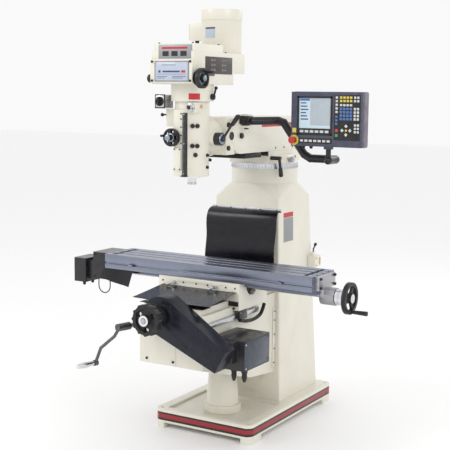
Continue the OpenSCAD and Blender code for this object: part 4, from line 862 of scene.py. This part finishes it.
for k, (dx, dz) in enumerate(((0, 0.021), (0, -0.021), (0.021, 0), (-0.021, 0))):
    jog = keys("jog_key_%d" % k, -0.0065, -0.0065, 1, 1, (0, 0), (0.013, 0.013), key_white)
    jog.data.transform(Matrix.Translation((0.727 + dx, 0, 1.634 + dz)) @ Matrix.Rotation(math.radians(45), 4, "Y"))
keys("jog_centre", 0.722, 1.629, 1, 1, (0, 0), (0.010, 0.010), key_yellow)
keys("jog_side_keys", 0.769, 1.655, 2, 3, (0.0155, 0.0165), (0.0110, 0.0110), key_white)
red_cap = lit("red_plastic", (0.55, 0.012, 0.012), 0.0)
skin("estop_button", red_cap, 0.003)
turned("estop_ring", (0.444, -0.3405, 1.580), to_front, [(0.0095, -0.001), (0.0255, -0.001), (0.0255, 0.002),
         (0.024, 0.0035), (0.0095, 0.0035)], key_yellow, "pendant", 56)
turned("estop_collar", (0.444, -0.3435, 1.580), to_front, [(0.0085, 0), (0.0150, 0), (0.0150, 0.0115),
         (0.0085, 0.0115)], black_plastic, "pendant", 48)
plate("pendant_label", (0.434, -0.3412, 1.617), (0.455, -0.3395, 1.640), key_yellow, "pendant", 0.0005, 1)
for k, x in enumerate((0.478, 0.520)):
    turned("pendant_gland_%d" % k, (x, -0.300, 1.5515), downwards, [(0, -0.002), (0.0095, -0.002), (0.0095, 0.006),
             (0.0075, 0.008), (0.0075, 0.014), (0, 0.014)], black_plastic, "pendant", 28)

# ---------------------------------------------------------------- way covers
# Reinforced rubber sheets keep chips off the ways. The rear one hangs from the column's strip to
# the saddle, the front one lies from the saddle to the knee, and a flap hangs at the table's end.
cover_rubber = dark("cover_rubber", (0.0035, 0.0035, 0.0060), 0.26, 900.0, 0.03, 0.12)


def rubber_sheet(name, across, along, place, thick=0.0024):
    """A grid bent to a place for each (across, along) share, then given its thickness."""
    bpy.ops.object.select_all(action="DESELECT")
    bpy.ops.mesh.primitive_grid_add(x_subdivisions=across, y_subdivisions=along, size=2)
    piece = bpy.context.object
    piece.name = name
    for v in piece.data.vertices:
        v.co = place((v.co.x + 1) / 2, (v.co.y + 1) / 2)
    depth = piece.modifiers.new("thickness", "SOLIDIFY")
    depth.thickness, depth.offset = thick, 0
    bpy.ops.object.modifier_apply(modifier="thickness")
    edit_all()
    bpy.ops.mesh.normals_make_consistent(inside=False)
    bpy.ops.object.mode_set(mode="OBJECT")
    bpy.ops.object.shade_smooth_by_angle(angle=math.radians(50))
    piece.data.materials.append(cover_rubber)
    return piece


def rear_place(u, t):
    y, z = line_at(((-0.0365, 1.177), (-0.067, 1.170), (-0.092, 1.145), (-0.106, 1.083), (-0.111, 1.003),
                     (-0.116, 0.872), (-0.147, 0.814), (-0.196, 0.805)), t)
    half = 0.2145 + 0.0055 * math.sin(math.pi * min(1.0, 3.2 * t) / 2) + 0.0018 * math.sin(9 * t)
    side = 2 * u - 1
    swell = 0.0045 * math.sin(math.pi * t) * math.sin(13 * t + 0.6 * side) - 0.006 * math.sin(math.pi * min(1.0,
              1.4 * t)) * side ** 4
    return (half * side, y - swell, z + 0.0015 * math.sin(3.1 * side + 5 * t) * math.sin(math.pi * t))


def front_place(u, t):
    side = 2 * u - 1
    curl = 0.006 * side ** 4 * math.sin(math.pi * (0.15 + 0.7 * t))
    y = -0.774 + 0.273 * t
    z = 0.7715 + 0.0265 * t ** 1.4 + curl * 0.6 - 0.003 * math.sin(math.pi * t) * (1 - side * side)
    return (-0.013 + 0.2265 * side, y, min(z, 0.8065))


def flap_place(u, t):
    low = (-0.693 + 0.197 * u, 0.783 - 0.037 * u)
    top = (-0.654 + 0.193 * u, 0.8425)
    return (low[0] + (top[0] - low[0]) * t, -0.4675 + 0.0045 * math.sin(7 * u + 1.5) * (1 - t),
            low[1] + (top[1] - low[1]) * t)


rear = rubber_sheet("rear_rubber", 48, 72, rear_place)
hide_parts("rear_way_cover")
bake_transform(rear)
front = rubber_sheet("front_rubber", 48, 32, front_place)
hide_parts("front_way_cover")
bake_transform(front)
flap = rubber_sheet("table_flap", 32, 12, flap_place)
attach(flap, "table")
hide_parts("x_flap")
plate("cover_shelf", (-0.192, -0.7775, 0.7535), (0.186, -0.7035, 0.7565), black_paint, "knee", 0.0008)
fasteners("front_cover_screws", [(x, -0.5015, 0.8005) for x in (-0.215, -0.130, 0.060, 0.190)], to_front, 0.008,
          0.003, zinc, "saddle")

# ---------------------------------------------------------------- table drive
# A black gearbox and motor on the table's left end, with lids held by socket screws.
drive = skin("x_motor", black_paint, 0.0)
bpy.ops.object.mode_set(mode="EDIT")
mesh = bmesh.from_edit_mesh(drive.data)
bmesh.ops.delete(mesh, geom=[v for v in mesh.verts if v.co.x > -0.7435 and v.co.z < 0.7715], context="VERTS")
bmesh.update_edit_mesh(drive.data)
bpy.ops.mesh.select_all(action="SELECT")
bpy.ops.mesh.fill_holes(sides=0)
bpy.ops.mesh.select_all(action="SELECT")
bpy.ops.mesh.normals_make_consistent(inside=False)
bpy.ops.object.mode_set(mode="OBJECT")
soft = drive.modifiers.new("broken_edge", "BEVEL")
soft.width, soft.segments, soft.limit_method, soft.angle_limit = 0.003, 3, "ANGLE", math.radians(28)
bpy.ops.object.modifier_apply(modifier="broken_edge")
bpy.ops.object.shade_smooth_by_angle(angle=math.radians(34))
fasteners("drive_lid_screws", [(x, -0.460, z) for x in (-0.732, -0.648) for z in (0.784, 0.908)], to_front, 0.009,
          0.004, black_oxide, "table")
for k, y in enumerate((-0.405, -0.330)):
    turned("drive_gland_%d" % k, (-0.850, y, 0.7375), downwards, [(0, -0.001), (0.011, -0.001), (0.011, 0.008),
             (0.0085, 0.010), (0.0085, 0.020), (0.005, 0.024), (0, 0.024)], black_plastic, "table", 24)
for k, x in enumerate((gland_left, gland_right)):
    turned("loop_gland_%d" % k, (x, loop_y, 0.7725), downwards, [(0.0038, -0.001), (0.0075, -0.001), (0.0075, 0.006),
             (0.0055, 0.008), (0.0038, 0.008)], black_plastic, "table", 24)
